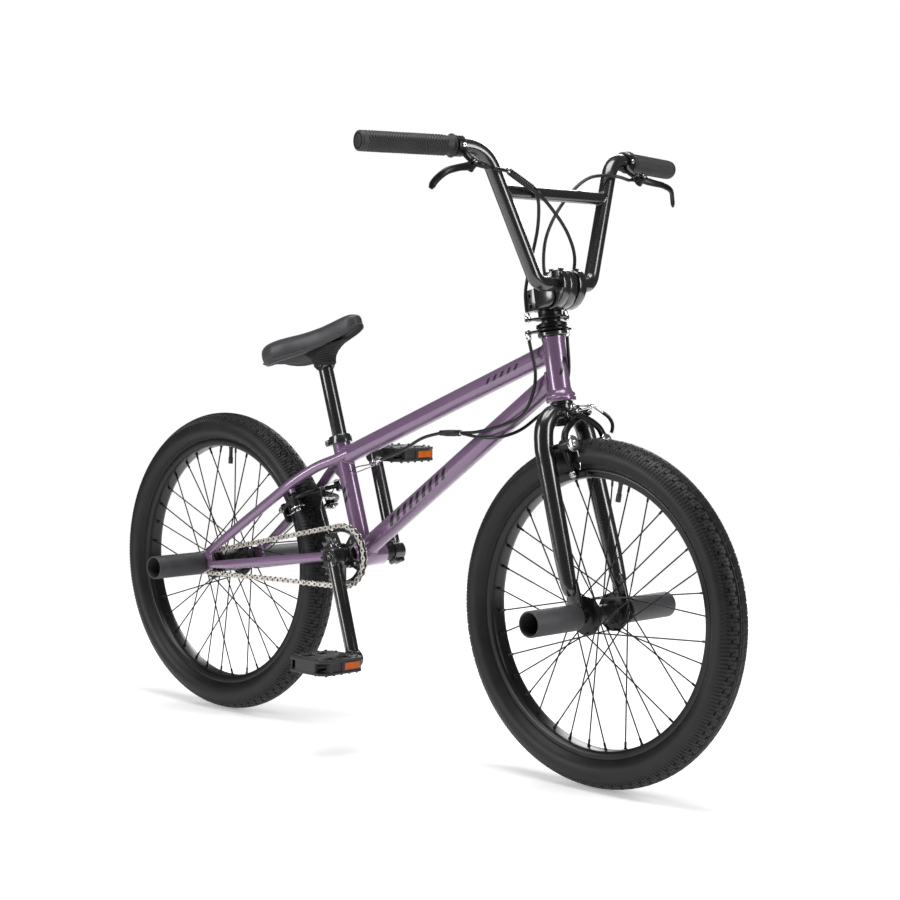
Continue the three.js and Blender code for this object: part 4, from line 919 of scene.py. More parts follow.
for name, axle, valve_angle, half_width, body, holder in WHEELS:
    tyre = Shape()
    tyre.grid(TYRE_ROWS + axle, wrap_u=True, wrap_v=True)
    make(f"{name}_tyre_casing", tyre, body, TYRE, [f"{name}_tyre"], origin=axle, crease=28)

    rim = Shape()
    rim.hoop(RIM_PROFILE, axle, ACROSS, sides=180)
    out = rad(valve_angle)
    way = np.array([math.cos(out), 0, math.sin(out)])
    # The valve with its cap.
    rim.lathe([[0, 0], [3.6, 0], [3.9, 0.6], [3.9, 11], [3.2, 11.6], [3.2, 25], [3.8, 26], [3.8, 31], [4.8, 33],
               [4.8, 34.6], [3, 35]], axle + way * 167, way, sides=40, slot=1,
              wave=lambda a, h: 0.12 * math.cos(a * 10) if h < 8.8 else 0)
    make(f"{name}_rim_hoop", rim, body, [RIM_BLACK, RESIN], [f"{name}_rim"], origin=axle)

    laced = Shape()
    for i in range(SPOKES):
        rim_angle = rad((i + 0.5) * 360 / SPOKES)
        side = 1 if i % 2 == 0 else -1
        lean = 1 if i % 4 < 2 else -1
        hub_angle = rim_angle + lean * rad(66)
        flange_y = side * (31 + lean * 2.2)
        at_hub = wheel_point(axle, FLANGE_RADIUS, hub_angle, flange_y)
        at_rim = wheel_point(axle, NIPPLE_RADIUS, rim_angle, side * 1.5)
        along = unit(at_rim - at_hub)
        laced.rod(at_hub, at_rim, 1.1, 8)
        laced.ball(at_hub + ACROSS * side * lean * 0.4, 1.7, steps=6)
        laced.rod(at_hub, at_hub - ACROSS * side * lean * 3.2, 0.95, 8)
        nipple = at_rim - along * 10
        laced.lathe([[0, 0], [1.5, 0.2], [1.8, 1], [1.8, 8.6], [2.6, 9.4], [2.6, 10.6]], nipple, along, sides=8)
    make(f"{name}_laced_spokes", laced, body, SPOKE_BLACK, [f"{name}_spokes"], origin=axle)

    hub = Shape()
    hub.hoop(HUBS[name], axle, ACROSS, sides=72)
    make(f"{name}_hub_shell", hub, body, ALLOY, [f"{name}_hub"], origin=axle)

    end = half_width + 28.4
    spindle = Shape()
    thread = lambda a, h: 0.18 * math.cos(h * 4.5) if half_width + 5 < abs(h) < end - 0.1 else 0
    heights = np.r_[-end + 0.8, np.linspace(-end + 1.5, -half_width, 70),
                    np.linspace(half_width, end - 1.5, 70), end - 0.8]
    profile = [[0, -end]] + [[6.3, h] for h in heights] + [[0, end]]
    spindle.lathe(profile, axle, ACROSS, sides=28, wave=thread)
    for s in (-1, 1):
        start = s * (half_width + 13.4)
        spindle.nut(axle + ACROSS * start, ACROSS * s, 10.4, 9)
        spindle.hoop([[6.6, 0], [12.6, 0], [12.6, 1.4], [6.6, 1.4]], axle + ACROSS * (start - s * 0.6),
                     ACROSS * s, sides=32)
    make(f"{name}_axle_and_nuts", spindle, holder, STEEL, [f"{name}_axle"])

    for side, s in SIDES:
        peg = Shape()
        start = axle + ACROSS * s * (half_width + 6.6)
        peg.hoop([[7.1, 0], [18, 0], [PEG_RADIUS, 1], [PEG_RADIUS, PEG_LENGTH - 1.4], [18.4, 99.8],
                  [17.4, PEG_LENGTH], [16.6, 99.6], [16.4, 98.8], [16.4, 6], [7.1, 6]], start, ACROSS * s, sides=96)
        make(f"{name}_peg_{side}_tube", peg, holder, PEG, [f"{name}_peg_{side}"])

# ---------------------------------------------------------------- drive

PITCH = 12.7
CHAIN_Y = -47.5
LINKS = 70
RING_TEETH, COG_TEETH = 24, 8
COG_CENTRE = (REAR_AXLE[0], REAR_AXLE[2])
RING_CENTRE = (BB[0], BB[2])


def pitch_radius(teeth):
    return PITCH / (2 * math.sin(math.pi / teeth))


def teeth_outline(teeth, cx, cz, turn=0.0):
    """Sprocket teeth: a round seat for each roller, and a tip between two seats."""
    radius = pitch_radius(teeth)
    step = 2 * math.pi / teeth
    shares = ((-0.5, -3.7), (-0.36, -3.2), (-0.24, -1.2), (-0.13, 1.9), (-0.05, 2.9), (0.05, 2.9), (0.13, 1.9),
              (0.24, -1.2), (0.36, -3.2))
    outline = []
    for i in range(teeth):
        for share, lift in shares:
            a = turn + (i + 0.5 + share) * step
            outline.append((cx + (radius + lift) * math.cos(a), cz + (radius + lift) * math.sin(a)))
    return outline


def chain_points(count):
    """Evenly spaced points round both sprockets on the chain's line, for its pins."""
    big, small = pitch_radius(RING_TEETH), pitch_radius(COG_TEETH)
    gap = np.array(COG_CENTRE) - np.array(RING_CENTRE)
    heading = math.atan2(gap[1], gap[0])
    spread = math.acos((big - small) / np.linalg.norm(gap))
    line = arc(*RING_CENTRE, big, math.degrees(heading + spread), math.degrees(heading - spread) + 360, 240)
    line += arc(*COG_CENTRE, small, math.degrees(heading - spread), math.degrees(heading + spread), 120)
    return evenly(np.array(line + line[:1]), count, endpoint=False)


joints_at = chain_points(LINKS)
first_pin = joints_at[0] - np.array(RING_CENTRE)
ring_turn = math.atan2(first_pin[1], first_pin[0])
cog_pins = [p for p in joints_at if np.linalg.norm(p - COG_CENTRE) < pitch_radius(COG_TEETH) + 0.6]
cog_turn = math.atan2(*(cog_pins[len(cog_pins) // 2] - COG_CENTRE)[::-1])

links = Shape()
for i in range(LINKS):
    a, b = joints_at[i], joints_at[(i + 1) % LINKS]
    span = np.linalg.norm(b - a)
    along = (b - a) / span
    square = np.array([-along[1], along[0]])
    outer = i % 2 == 0
    r, waist = (4.2, 1.9) if outer else (4.0, 2.0)
    # A plate is a figure of eight: a lobe round each pin, and a waist between them.
    outline = []
    for pin, first, last, side in ((a, 65, 295, -1), (b, -115, 115, 1)):
        outline += [pin + along * r * math.cos(rad(t)) + square * r * math.sin(rad(t))
                    for t in np.linspace(first, last, 9)]
        outline.append(a + along * span / 2 + square * waist * side)
    for way in (-1, 1):
        offset = way * (3.5 if outer else 2.4)
        place = lambda u, v, h: np.array([u, CHAIN_Y + offset + (h - 0.5) * 0.95, v])
        links.prism(outline, place, bevel=0.25)
    at = np.array([a[0], CHAIN_Y, a[1]])
    links.rod(at - ACROSS * 4.3, at + ACROSS * 4.3, 2.0, 12, slot=1, chamfer=0.3)
    links.rod(at - ACROSS * 1.9, at + ACROSS * 1.9, 3.3, 14, slot=1)
make("chain_links", links, "frame", [CHAIN_OUTER, CHAIN_INNER], ["chain"])

sprocket = Shape()
outlines = [teeth_outline(RING_TEETH, *RING_CENTRE, turn=ring_turn)]
cx, cz = RING_CENTRE
for i in range(5):
    middle = i * 72 + 17
    outlines.append(arc(cx, cz, 20.5, middle - 17, middle + 17, 7) + arc(cx, cz, 38.5, middle + 25, middle - 25, 13))
outlines.append(arc(cx, cz, 9.9, 0, 345, 24))
sprocket.plate(outlines, 3.4, lambda u, v, h: np.array([u, CHAIN_Y + h, v]), bevel=0.4)
sprocket.hoop([[9.9, -6], [14, -6], [15, -5], [15, -2], [19, -1.9], [19, 1.9], [15, 2], [15, 4], [14, 5],
               [9.9, 5]], BB + ACROSS * CHAIN_Y, ACROSS, sides=56)
for i in range(5):
    a = rad(i * 72 + 17 + 36)
    sprocket.bolt(BB + np.array([30 * math.cos(a), CHAIN_Y - 1.6, 30 * math.sin(a)]), -ACROSS, 2.6, 1.2, slot=1)
make("chainring", sprocket, "crank", [GLOSS, STEEL], ["sprocket"])

cog = Shape()
cog.plate([teeth_outline(COG_TEETH, *COG_CENTRE, turn=cog_turn), arc(*COG_CENTRE, 7.4, 0, 345, 24)], 3.2,
          lambda u, v, h: np.array([u, CHAIN_Y + h, v]), bevel=0.3)
cog.hoop([[7.4, -6], [10.4, -6], [11, -5.2], [11, 10.4], [10.4, 11], [7.4, 11]], REAR_AXLE + ACROSS * CHAIN_Y,
         ACROSS, sides=40)
make("driver_cog", cog, "cog", STEEL, ["rear_cog"], origin=REAR_AXLE)

spindle = Shape()
spline = lambda a, h: 0.25 * math.cos(a * 24) if abs(h) > 56 else 0
spindle.lathe([[0, -79], [8.6, -79], [9.2, -78], [9.2, -57], [9.3, -56], [9.3, 56], [9.2, 57], [9.2, 78], [8.6, 79],
               [0, 79]], BB, ACROSS, sides=96, wave=spline)
for s in (-1, 1):
    spindle.bolt(BB + ACROSS * s * 78.8, ACROSS * s, 8.8, 1.6, slot=1)
make("crank_axle", spindle, "crank", [STEEL, ALLOY], ["crank_spindle"])

cartridge = Shape()
for s in (-1, 1):
    cartridge.hoop([[9.9, 26], [17, 26], [17, 33.4], [16.4, 34], [9.9, 34]], BB, ACROSS * s, sides=56)
    cartridge.hoop([[9.8, 34], [16.6, 34], [16.6, 35.4], [9.8, 35.4]], BB, ACROSS * s, sides=56, slot=1)
cartridge.hoop([[9.9, -26], [12.8, -26], [12.8, 26], [9.9, 26]], BB, ACROSS, sides=40)
make("bottom_bracket_bearings", cartridge, "frame", [STEEL, RESIN], ["bb_cartridge"])
collars = Shape()
collars.hoop([[9.8, 35.8], [14, 35.8], [14, 41], [9.8, 41]], BB, -ACROSS, sides=40)
collars.hoop([[9.8, 35.8], [14, 35.8], [14, 56], [9.8, 56]], BB, ACROSS, sides=40)
collars.hoop([[9.8, 53.8], [15, 53.8], [15, 56.6], [9.8, 56.6]], BB, -ACROSS, sides=40)
make("spindle_spacers", collars, "crank", ALLOY)

CRANK_LENGTH = 165
CRANK_ANGLE = rad(22)


def slab(shape, centre, size, bevel, slot=0):
    """A block with chamfered edges."""
    sx, sy, sz = (v / 2 for v in size)
    outline = [(-sx + bevel, -sy), (sx - bevel, -sy), (sx, -sy + bevel), (sx, sy - bevel), (sx - bevel, sy),
               (-sx + bevel, sy), (-sx, sy - bevel), (-sx, -sy + bevel)]
    share = bevel / size[2]
    shape.prism(outline, lambda u, v, h: centre + np.array([u, v, (h - 0.5) * 2 * sz]), slot=slot, bevel=share)


for side, s in SIDES:
    reach = np.array([-s * CRANK_LENGTH * math.sin(CRANK_ANGLE), 0, s * CRANK_LENGTH * math.cos(CRANK_ANGLE)])
    tip = BB + reach
    arm_way = unit(reach)
    arm = Shape()
    start = BB + ACROSS * s * 68
    end = tip + ACROSS * s * 81
    along = unit(end - start)
    path = [start + (end - start) * t for t in np.linspace(0, 1, 30)]
    arm.sweep(path, changing(30, [0, 0.04, 0.9, 1], [11.8, 11.3, 10.6, 10.2]), 36)
    arm.hoop([[9.9, 57.2], [15, 57.2], [16, 58.2], [16, 77.6], [15, 78.8], [9.9, 78.8]], BB, ACROSS * s, sides=56)
    # Two pinch bolts close the arm's slit on the spindle.
    slit = BB - arm_way * 16
    pinch = np.cross(arm_way, ACROSS)
    for y in (62, 73):
        arm.rod(slit + ACROSS * s * y - pinch * 9, slit + ACROSS * s * y + pinch * 9, 4.6, 18, chamfer=0.8)
    for y in (62, 73):
        arm.bolt(slit + ACROSS * s * y + pinch * 8.6, pinch, 3.4, 1.6, slot=1)
    arm.lathe([[0, 71.6], [12.2, 71.6], [13, 72.4], [13, 89.4], [12.2, 90.2], [7.2, 90.2], [7.2, 90.6]], tip,
              ACROSS * s, sides=48)
    for ring in mitred(Shape(), start, end, 10.7, (tip, ACROSS, 13.0), (BB, ACROSS, 16.0), sides=32):
        bead(arm, ring, 1.5)
    # The pedal's spindle.
    arm.lathe([[0, 74], [5, 74], [6.6, 80], [6.6, 88], [9.4, 89], [9.4, 93.6], [6.8, 94], [6.7, 178], [6, 181],
               [0, 181]], tip, ACROSS * s, sides=32, slot=1)
    make(f"crank_arm_{side}_tube", arm, "crank", [GLOSS, STEEL], [f"crank_arm_{side}"])

    pedal = Shape()
    centre = tip + ACROSS * s * 140
    hx, hy, cut = 41, 45, 9
    outline = [(-hx + cut, -hy), (hx - cut, -hy), (hx - 5, -hy + cut * 0.6), (hx, -hy + cut), (hx, hy - cut),
               (hx - 5, hy - cut * 0.6), (hx - cut, hy), (-hx + cut, hy), (-hx + 5, hy - cut * 0.6), (-hx, hy - cut),
               (-hx, -hy + cut), (-hx + 5, -hy + cut * 0.6)]
    windows = [[(wx * 15.5, wy * 4), (wx * 29.5, wy * 4), (wx * 29.5, wy * 24), (wx * 15.5, wy * 27)]
               for wx in (-1, 1) for wy in (-1, 1)]
    for z in (-9.4, 9.4):
        pedal.plate([outline] + windows, 3.8, lambda u, v, h: centre + np.array([u, v, z + h]), bevel=0.8)
    for wx in (-1, 1):
        for wy in (-28, 28):
            slab(pedal, centre + np.array([wx * 35.5, wy * 0.9, 0]), (9, 8, 22), 1.2)
        slab(pedal, centre + np.array([wx * 36.5, 0, 0]), (3, 58, 16), 0.8)
        slab(pedal, centre + np.array([wx * 35.5, 0, 0]), (9, 7, 22), 1.2)
    for wy in (-1, 1):
        slab(pedal, centre + np.array([0, wy * 40.6, 0]), (46, 7, 20), 1.4)
    pedal.hoop([[7.7, -43], [11.4, -43], [12.4, -41], [12.4, 41], [11.4, 42.6], [7.7, 42.6]], centre,
               ACROSS * s, sides=40)
    pins = [(x, y) for x in (-35, 35) for y in (-32, -16, 0, 16, 32)] + [(-18, -38), (18, -38), (-18, 38), (18, 38)]
    for x, y in pins:
        for way in (-1, 1):
            pedal.lathe([[0, 0], [2.1, 0], [2.1, 2.2], [1.2, 3.1], [0, 3.1]], centre + np.array([x, y, way * 10.6]),
                        [0, 0, way], sides=10)
    # Each end of the pedal carries a reflector in a frame.
    for wx in (-1, 1):
        near = -18 * s if (side == "right") == (wx > 0) else 18 * s
        slab(pedal, centre + np.array([wx * 39.2, near, 0]), (3.6, 33, 10.5), 0.9, slot=1)
        slab(pedal, centre + np.array([wx * 38.8, near, 0]), (3.4, 37, 14), 0.9)
    make(f"pedal_{side}_platform", pedal, f"pedal_{side}_body", [RESIN, REFLECTOR], [f"pedal_{side}"])

# ---------------------------------------------------------------- seat

collar = Shape()
collar.hoop([[14.9, 183], [17.6, 183], [18.4, 183.8], [18.4, 195], [17.6, 196.2], [12.9, 196.6], [12.9, 196],
             [14.9, 195.6]], BB, SEAT_AXIS, sides=64)
for way in (-1, 1):
    collar.prism([(17, 184.5), (27.4, 185), (28, 186), (28, 193.5), (27.4, 194.5), (17, 195)],
                 lambda u, v, h: seat_point(v, u, way * 5 + (h - 0.5) * 6.5), bevel=0.1)
collar.rod(seat_point(189.6, 23, -10.6), seat_point(189.6, 23, 10.6), 2.8, 16, slot=1)
collar.bolt(seat_point(189.6, 23, 8), ACROSS, 4, 3.2, slot=1)
collar.nut(seat_point(189.6, 23, -8), -ACROSS, 4.4, 2.8, slot=1)
make("seat_clamp_ring", collar, "frame", [GLOSS, STEEL], ["seat_clamp"])

post = Shape()
post.lathe([[0, 92], [11.2, 92], [11.9, 93], [11.9, 290], [11.9, 306]], BB, SEAT_AXIS, sides=56)
post.ball(BB + SEAT_AXIS * 308, 12.2, scale=(1, 1, 0.9))
post.lathe([[0, -13], [11, -13], [11.8, -12], [11.8, 12], [11, 13], [0, 13]], BB + SEAT_AXIS * 318, ACROSS, sides=48)
post.bolt(BB + SEAT_AXIS * 318 + ACROSS * 12.4, ACROSS, 6, 1, slot=1)
post.bolt(BB + SEAT_AXIS * 318 - ACROSS * 12.4, -ACROSS, 6, 1, slot=1)
make("seat_post_tube", post, "post", [GLOSS, STEEL], ["seat_post"])

SADDLE_SIDES = 28  # points round one section
SADDLE_STATIONS = (
    # x, half width, foot, crown, roundness of the crown
    (-104.5, 8, 26, 42, 0.6), (-103.5, 24, 21, 49, 0.7), (-99, 40, 17, 54, 0.75), (-90, 52, 14.5, 57, 0.8),
    (-76, 59, 13.5, 59, 0.8), (-58, 59, 13.5, 59, 0.8), (-40, 52, 14, 58, 0.85), (-20, 41.5, 15, 56.5, 0.9),
    (0, 33, 16, 56, 0.95), (24, 26, 18, 56, 1), (48, 22, 21, 57.5, 1), (70, 19.5, 24, 59, 1), (84, 17, 27, 59, 0.95),
    (92, 12.5, 31, 57, 0.85), (96, 6, 36, 52.5, 0.7))


def saddle_ring(x, half, foot, crown, full):
    """One closed section of the cover: tucked in at the foot, and crowned on top."""
    ring = []
    deep = crown - foot
    hollow = min(11, deep * 0.3)
    for i in range(SADDLE_SIDES):
        a = i * 2 * math.pi / SADDLE_SIDES
        c, s = math.cos(a), math.sin(a)
        power = 0.62 if s > 0 else 0.5
        y = half * math.copysign(abs(c) ** 0.72, c)
        z = foot + deep * 0.42 + (deep * 0.58 if s > 0 else deep * 0.42) * math.copysign(abs(s) ** power, s)
        if s > 0:
            z -= 1.6 * full * math.exp(-(y / (half * 0.3 + 1)) ** 2) * min(1, half / 30)
        if s < -0.2:
            y *= 0.96
            # The underside is hollow, so that the cover ends in a lip all round.
            z += hollow * max(0, 1 - abs(c) / 0.8) ** 0.6
        ring.append((x, y, z))
    return ring


cover = Shape()
dense = np.array(SADDLE_STATIONS, float)
run = np.r_[0, np.cumsum(np.hypot(np.diff(dense[:, 0]), np.diff(dense[:, 1])))]
at = np.linspace(0, run[-1], 46)
stations = [[np.interp(t, run, dense[:, k]) for k in range(5)] for t in at]
rows = [[saddle_point(*p) for p in saddle_ring(*station)] for station in stations]
cover.grid(rows, caps=(True, True))
# The faces underneath take the second, darker material: partly the black of the saddle's base, partly painted shade
# under the saddle. The two caps at the ends keep the first.
under = [math.sin(2 * math.pi * (j + 0.5) / SADDLE_SIDES) < -0.62 for j in range(SADDLE_SIDES)]
cover.slots = [int(under[k % SADDLE_SIDES]) for k in range(SADDLE_SIDES * (len(rows) - 1))] + [0, 0]
seam = []
for side in (1, -1):
    line = [(x, side * half * 0.985, foot + (crown - foot) * 0.22) for x, half, foot, crown, full in stations]
    seam += line if side > 0 else line[::-1]
saddle = make("saddle_padded_cover", cover, "seat", [COVER, PAD_AND_SADDLE_SHADE], ["saddle"], crease=60, subdivide=2)

piping = Shape()
loop = [saddle_point(*p) for p in seam]
piping.sweep(loop + loop[:1], 0.9, 8)
make("saddle_cover_seam", piping, "seat", STITCH)

base = Shape()
tray = []
for x, half, foot, crown, full in stations:
    half = max(half - 7, 2)
    tray.append([saddle_point(x * 0.95, y, z) for y, z in
                 ((half * 0.8, foot + 14), (half * 0.84, foot + 9), (half * 0.5, foot + 7.4),
                  (-half * 0.5, foot + 7.4), (-half * 0.84, foot + 9), (-half * 0.8, foot + 14))])
base.grid(tray, caps=(True, True))
# The skirt round the head of the post flares forward and back into the base, with fine ribs.
levels = np.linspace(-4, 24, 61)
flare = [np.interp(levels, [-4, 2, 8, 14, 19, 24], reaches)
         for reaches in ([20, 21, 24, 32, 44, 60], [16, 17, 19, 24, 32, 40], [16.4, 16.8, 17.4, 18, 18.4, 18.6])]
rings = []
for k, (level, ahead_of, rear_of, half) in enumerate(zip(levels, *flare)):
    ridge = -0.9 if k % 8 < 2 else 0
    ring = []
    for a in np.linspace(0, 2 * math.pi, 48, endpoint=False):
        c, s = math.cos(a), math.sin(a)
        reach = ahead_of if c > 0 else rear_of
        narrow = 1 - 0.25 * max(c, 0) ** 2
        ring.append(saddle_point((reach + ridge) * math.copysign(abs(c) ** 0.75, c),
                                 (half * narrow + ridge) * math.copysign(abs(s) ** 0.75, s), level))
    rings.append(ring)
base.grid(rings, caps=(True, True))
# The base takes the same dark colour: its own black, and painted shade under the saddle.
make("saddle_underside", base, "seat", PAD_AND_SADDLE_SHADE, ["saddle_base"])

# ---------------------------------------------------------------- U-brakes

ARM_LAYER = 5.2  # the two arms of a brake cross, so one lies this far before the middle and one behind


def brake_arm(name, place, s, offset, body, node):
    """A cast arm: pad end, pivot boss with its spring cover, and the crossing cable end."""
    layer = s * ARM_LAYER
    at = lambda y, out, t: place(y, out, t + offset)
    arm = Shape()
    route = flowing([at(s * y, out, layer) for y, out in
                     ((27, 202), (36.5, 222), (39, PIVOT_OUT), (33, 264), (14, 278), (-4, 285),
                      (-ANCHOR_Y, ANCHOR_OUT))], 48)
    away, outward, across = (at(*step) - at(0, 0, 0) for step in ((0, 0, 1), (0, 1, 0), (1, 0, 0)))
    arm.sweep(route, changing(48, [0, 0.12, 0.35, 0.5, 0.8, 1], [6.2, 5, 6.4, 5.8, 4.6, 4.8]), 24, flat=0.72,
              hint=away)
    pivot = at(s * PIVOT_Y, PIVOT_OUT, 0)
    arm.lathe([[0, -11.4], [8, -11.4], [8.8, -10.6], [8.8, 8], [8.2, 9], [0, 9]], pivot, away, sides=44)
    # The spring cover, polished on the front brake and black on the rear, and the pivot bolt.
    arm.lathe([[0, 8.6], [10.2, 8.6], [10.6, 9.4], [10.2, 11.6], [8.8, 12.4], [6, 12.6], [0, 12.6]], pivot, away,
              sides=44, slot=int(offset > 0))
    arm.bolt(pivot + away * 12.4, away, 4.6, 3.4, slot=1)
    coil = [pivot + away * (9.6 + 0.55 * math.sin(t)) + across * 11.2 * math.cos(t) + outward * 11.2 * math.sin(t)
            for t in np.linspace(rad(30), rad(300), 40)]
    arm.sweep(coil, 0.9, 8, slot=2)
    spring_leg = flowing([coil[-1], at(s * 30, 232, 9), at(s * 27, 218, 8), at(s * 29, 206, 7)], 20)
    arm.sweep(spring_leg, 0.8, 8, slot=2)
    # The shoe's holder with its round-headed bolt, and the pad beside the rim.
    pad_at = lambda u, v, h: at(s * (19.2 + 7.6 * h), 200 + v, u)
    arm.prism([(-16, -3.6), (13, -4), (17, -1.5), (17, 2), (12, 4), (-16, 3.6)], pad_at, slot=3, bevel=0.12)
    holder = lambda u, v, h: at(s * (25.6 + 3 * h), 200 + v, u)
    arm.prism([(-14, -2.8), (14, -2.8), (14, 2.8), (-14, 2.8)], holder, bevel=0.16)
    inward = at(-s, 0, 0) - at(0, 0, 0)
    arm.bolt(at(s * 33.4, 202, layer), -inward, 4.6, 3.2, slot=1)
    arm.lathe([[0, 0], [5.6, 0], [5.6, 1.2], [0, 1.2]], at(s * 32.6, 202, layer), -inward, sides=28, slot=1)
    arm.rod(at(s * 26, 201, layer), at(s * 35, 202, layer), 3, 18, slot=1)
    # The anchor bolt that holds the straddle wire.
    end = at(-s * ANCHOR_Y, ANCHOR_OUT, layer)
    arm.lathe([[0, -7.6], [4.6, -7.6], [5, -7], [5, 7], [4.6, 7.6], [0, 7.6]], end, away, sides=28)
    arm.bolt(end + away * 7.4, away, 3.4, 2.6, slot=1)
    arm.nut(end - away * 7.6, -away, 4.2, 2.6, slot=1)
    make(name, arm, body, [ALLOY, STEEL, CHROME, PAD_AND_SADDLE_SHADE], [node])


for side, s in SIDES:
    brake_arm(f"front_brake_{side}_casting", FRONT_BRAKE, s, FRONT_PIVOT_T, f"front_arm_{side}",
              f"front_brake_arm_{side}")
    brake_arm(f"rear_brake_{side}_casting", REAR_BRAKE, s, 0, f"rear_arm_{side}", f"rear_brake_arm_{side}")

wires = Shape()
hanger = np.array([-54.5, -3, 443.5])
for s in (-1, 1):
    anchor = REAR_BRAKE(-s * ANCHOR_Y, ANCHOR_OUT, s * ARM_LAYER)
    wires.sweep(flowing([hanger + np.array([-3, s * 3, -2]), hanger + np.array([-18, s * 17, -6]),
                         (hanger + anchor) / 2 + np.array([-8, s * 5.5, 2]), anchor + np.array([2, 0, 8]),
                         REAR_BRAKE(s * 4, 285, 13)], 30), 0.9, 8, slot=int(s < 0))
    wires.bolt(REAR_BRAKE(s * 4, 285, 9), REAR_BRAKE(0, 0, 1) - REAR_BRAKE(0, 0, 0), 5.2, 5)
outline = [(-9, 0), (-5, 5.5), (6, 6.5), (9, 2), (9, -2), (6, -6.5), (-5, -5.5)]
wires.prism(outline, lambda u, v, h: hanger + np.array([u, v, (h - 0.5) * 5]), bevel=0.1)
wires.bolt(hanger + np.array([0, 0, 2.2]), [0, 0, 1], 3.6, 3)
clamp = REAR_BRAKE(-4, 285, 14)
tail = flowing([clamp + np.array(step) for step in
                ((0, 0, 0), (-5, -8, 3), (-7, -11, -12), (-3, -7, -38), (4, 0, -62))], 30)
wires.sweep(tail, 0.8, 8)
wires.rod(tail[-1], tail[-1] + (tail[-1] - tail[-2]) * 2.4, 1.5, 10)
make("rear_straddle_wire", wires, "frame", [STEEL, HOUSING])

noodle = Shape()
curve = flowing([S(15.6, -6, -19), S(24, -8, -12.5), S(33, -8, -11), S(44, 0, -12), S(52, 12, -17),
                 S(57, 21, -25)], 40)
noodle.sweep(curve, 2.3, 16)
noodle.hoop([[2.4, 0], [4.2, 0], [4.6, 1], [4.6, 7], [4, 8], [2.4, 8]], curve[6], curve[9] - curve[6], sides=28)
noodle.hoop([[2.4, 0], [3.9, 0], [4.2, 1], [4.2, 6], [3.6, 7], [2.4, 7]], curve[24], curve[27] - curve[24], sides=28)
loop = flowing([curve[-1], S(60, 30, -33), S(60, 36, -42), S(57, 38.5, -50), S(54.5, 38, -55)], 30)
noodle.sweep(loop, 2.6, 14, slot=1)
noodle.bolt(S(14.4, 0, -20), STEER_X, 6.4, 4)
noodle.lathe([[0, 0], [8.4, 0], [8.4, 2], [0, 2]], S(14, 0, -20), STEER_X, sides=32)
cross_wire = flowing([FRONT_BRAKE(y, out, FRONT_PIVOT_T + ahead)
                      for y, out, ahead in ((-22, 291, 19), (0, 294, 20), (22, 291, 19))], 16)
noodle.sweep(cross_wire, 0.9, 8)
make("front_cable_noodle", noodle, "fork", [CHROME, HOUSING])

# ---------------------------------------------------------------- brake cables

CABLE = 2.5  # radius of a housing


def housing(name, points, body, nodes=(), count=40):
    """A flexible housing of one smooth curve, with both of its ends held by the bike."""
    route = flowing(points, count)
    curve = bpy.data.curves.new(name, "CURVE")
    curve.dimensions = "3D"
    curve.bevel_depth = CABLE * MM
    curve.bevel_resolution = 5
    curve.use_fill_caps = True
    spline = curve.splines.new("POLY")
    spline.points.add(count - 1)
    for point, place in zip(spline.points, route):
        point.co = (*(place * MM), 1)
    curve.materials.append(HOUSING)
    piece = bpy.data.objects.new(name, curve)
    bpy.context.scene.collection.objects.link(piece)
    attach(piece, body)
    if nodes:
        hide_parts(*nodes)


def ferrule(shape, at, way, slot=0, length=7.0, radius=3.4):
    shape.lathe([[0, 0], [radius - 0.4, 0], [radius, 0.5], [radius, length - 1], [radius - 0.8, length], [0, length]],
                at, way, sides=28, slot=slot)


def splitter(name, start, end, body):
    """The black ribbed sleeve where one cable becomes two, with a bright ferrule at its mouth."""
    start, end = np.asarray(start, float), np.asarray(end, float)
    along = unit(end - start)
    length = np.linalg.norm(end - start)
    piece = Shape()
    ribs = lambda a, h: 0.35 * math.cos(h * 2 * math.pi / 4.2) if 10 < h < length - 12 else 0
    heights = np.linspace(1.4, length - 1.4, 90)
    barrel = [[4.9 if h < length - 10 else 4.3, h] for h in heights]
    profile = [[0, 0], [3.4, 0]] + barrel + [[3, length], [0, length]]
    piece.lathe(profile, start, along, sides=32, wave=ribs)
    ferrule(piece, start - along * 4.5, along, slot=1, length=6, radius=3.6)
    make(name, piece, body, [HOUSING, CHROME])


housing("upper_cable_lever_run", [S(60.6, -154, 324.2), S(61.4, -146, 323), S(61, -135, 322.5), S(60, -120, 321.5)],
        "fork", ["upper_brake_cable"], count=18)
splitter("upper_cable_splitter", S(60, -120, 321.5), S(56, -62, 297), "fork")
far_run = [S(56.5, -64, 298), S(52, -30, 276), S(46, 8, 240), S(34, 31, 205), S(16, 33, 165), S(4.5, 30.5, 143),
           S(4, 30.2, 134.8)]
near_run = [S(56.5, -64, 298), S(44, -46, 283), S(26, -34, 250), S(4, -33, 205), S(-13, -33, 165),
            S(-17.7, -30.5, 143), S(-18, -30.2, 134.8)]
housing("upper_cable_near_run", near_run, "fork")
housing("upper_cable_far_run", far_run, "fork")
housing("front_cable_run", [S(60.6, 154, 324.2), S(61.2, 149, 323.3), S(56, 128, 329), S(34, 90, 330), S(14, 44, 293),
                            S(2, 12, 245), S(0, 0, 205), S(0, 0, 176), S(0, 0, 120)], "fork", ["front_brake_cable"],
        count=60)
near_run = [S(-26, -24, 94.6), (302, -24, 592), (289, -23, 551), (268, -21, 531), (188, -18, 507), (138, -10, 501.7)]
far_run = [S(5, 26, 94.6), (320, 29, 596), (308, 27, 560), (270, 22, 533), (247, 6, 511), (224, -14, 500),
           (188, -19, 498.5), (138, -10, 501.7)]
housing("lower_cable_near_run", near_run, "frame", ["lower_brake_cable"], count=48)
housing("lower_cable_far_run", far_run, "frame", count=60)
splitter("lower_cable_splitter", (141, -10, 501.7), (97, -10, 499.6), "frame")
housing("lower_cable_brake_run", [(98, -10, 499.6), (60, -9, 490), (10, -6, 467), (-40, -3, 450)], "frame", count=30)
fittings = Shape()
ferrule(fittings, (-38, -3.1, 450.7), unit([-14, 0, -5.2]), length=12, radius=3.3)
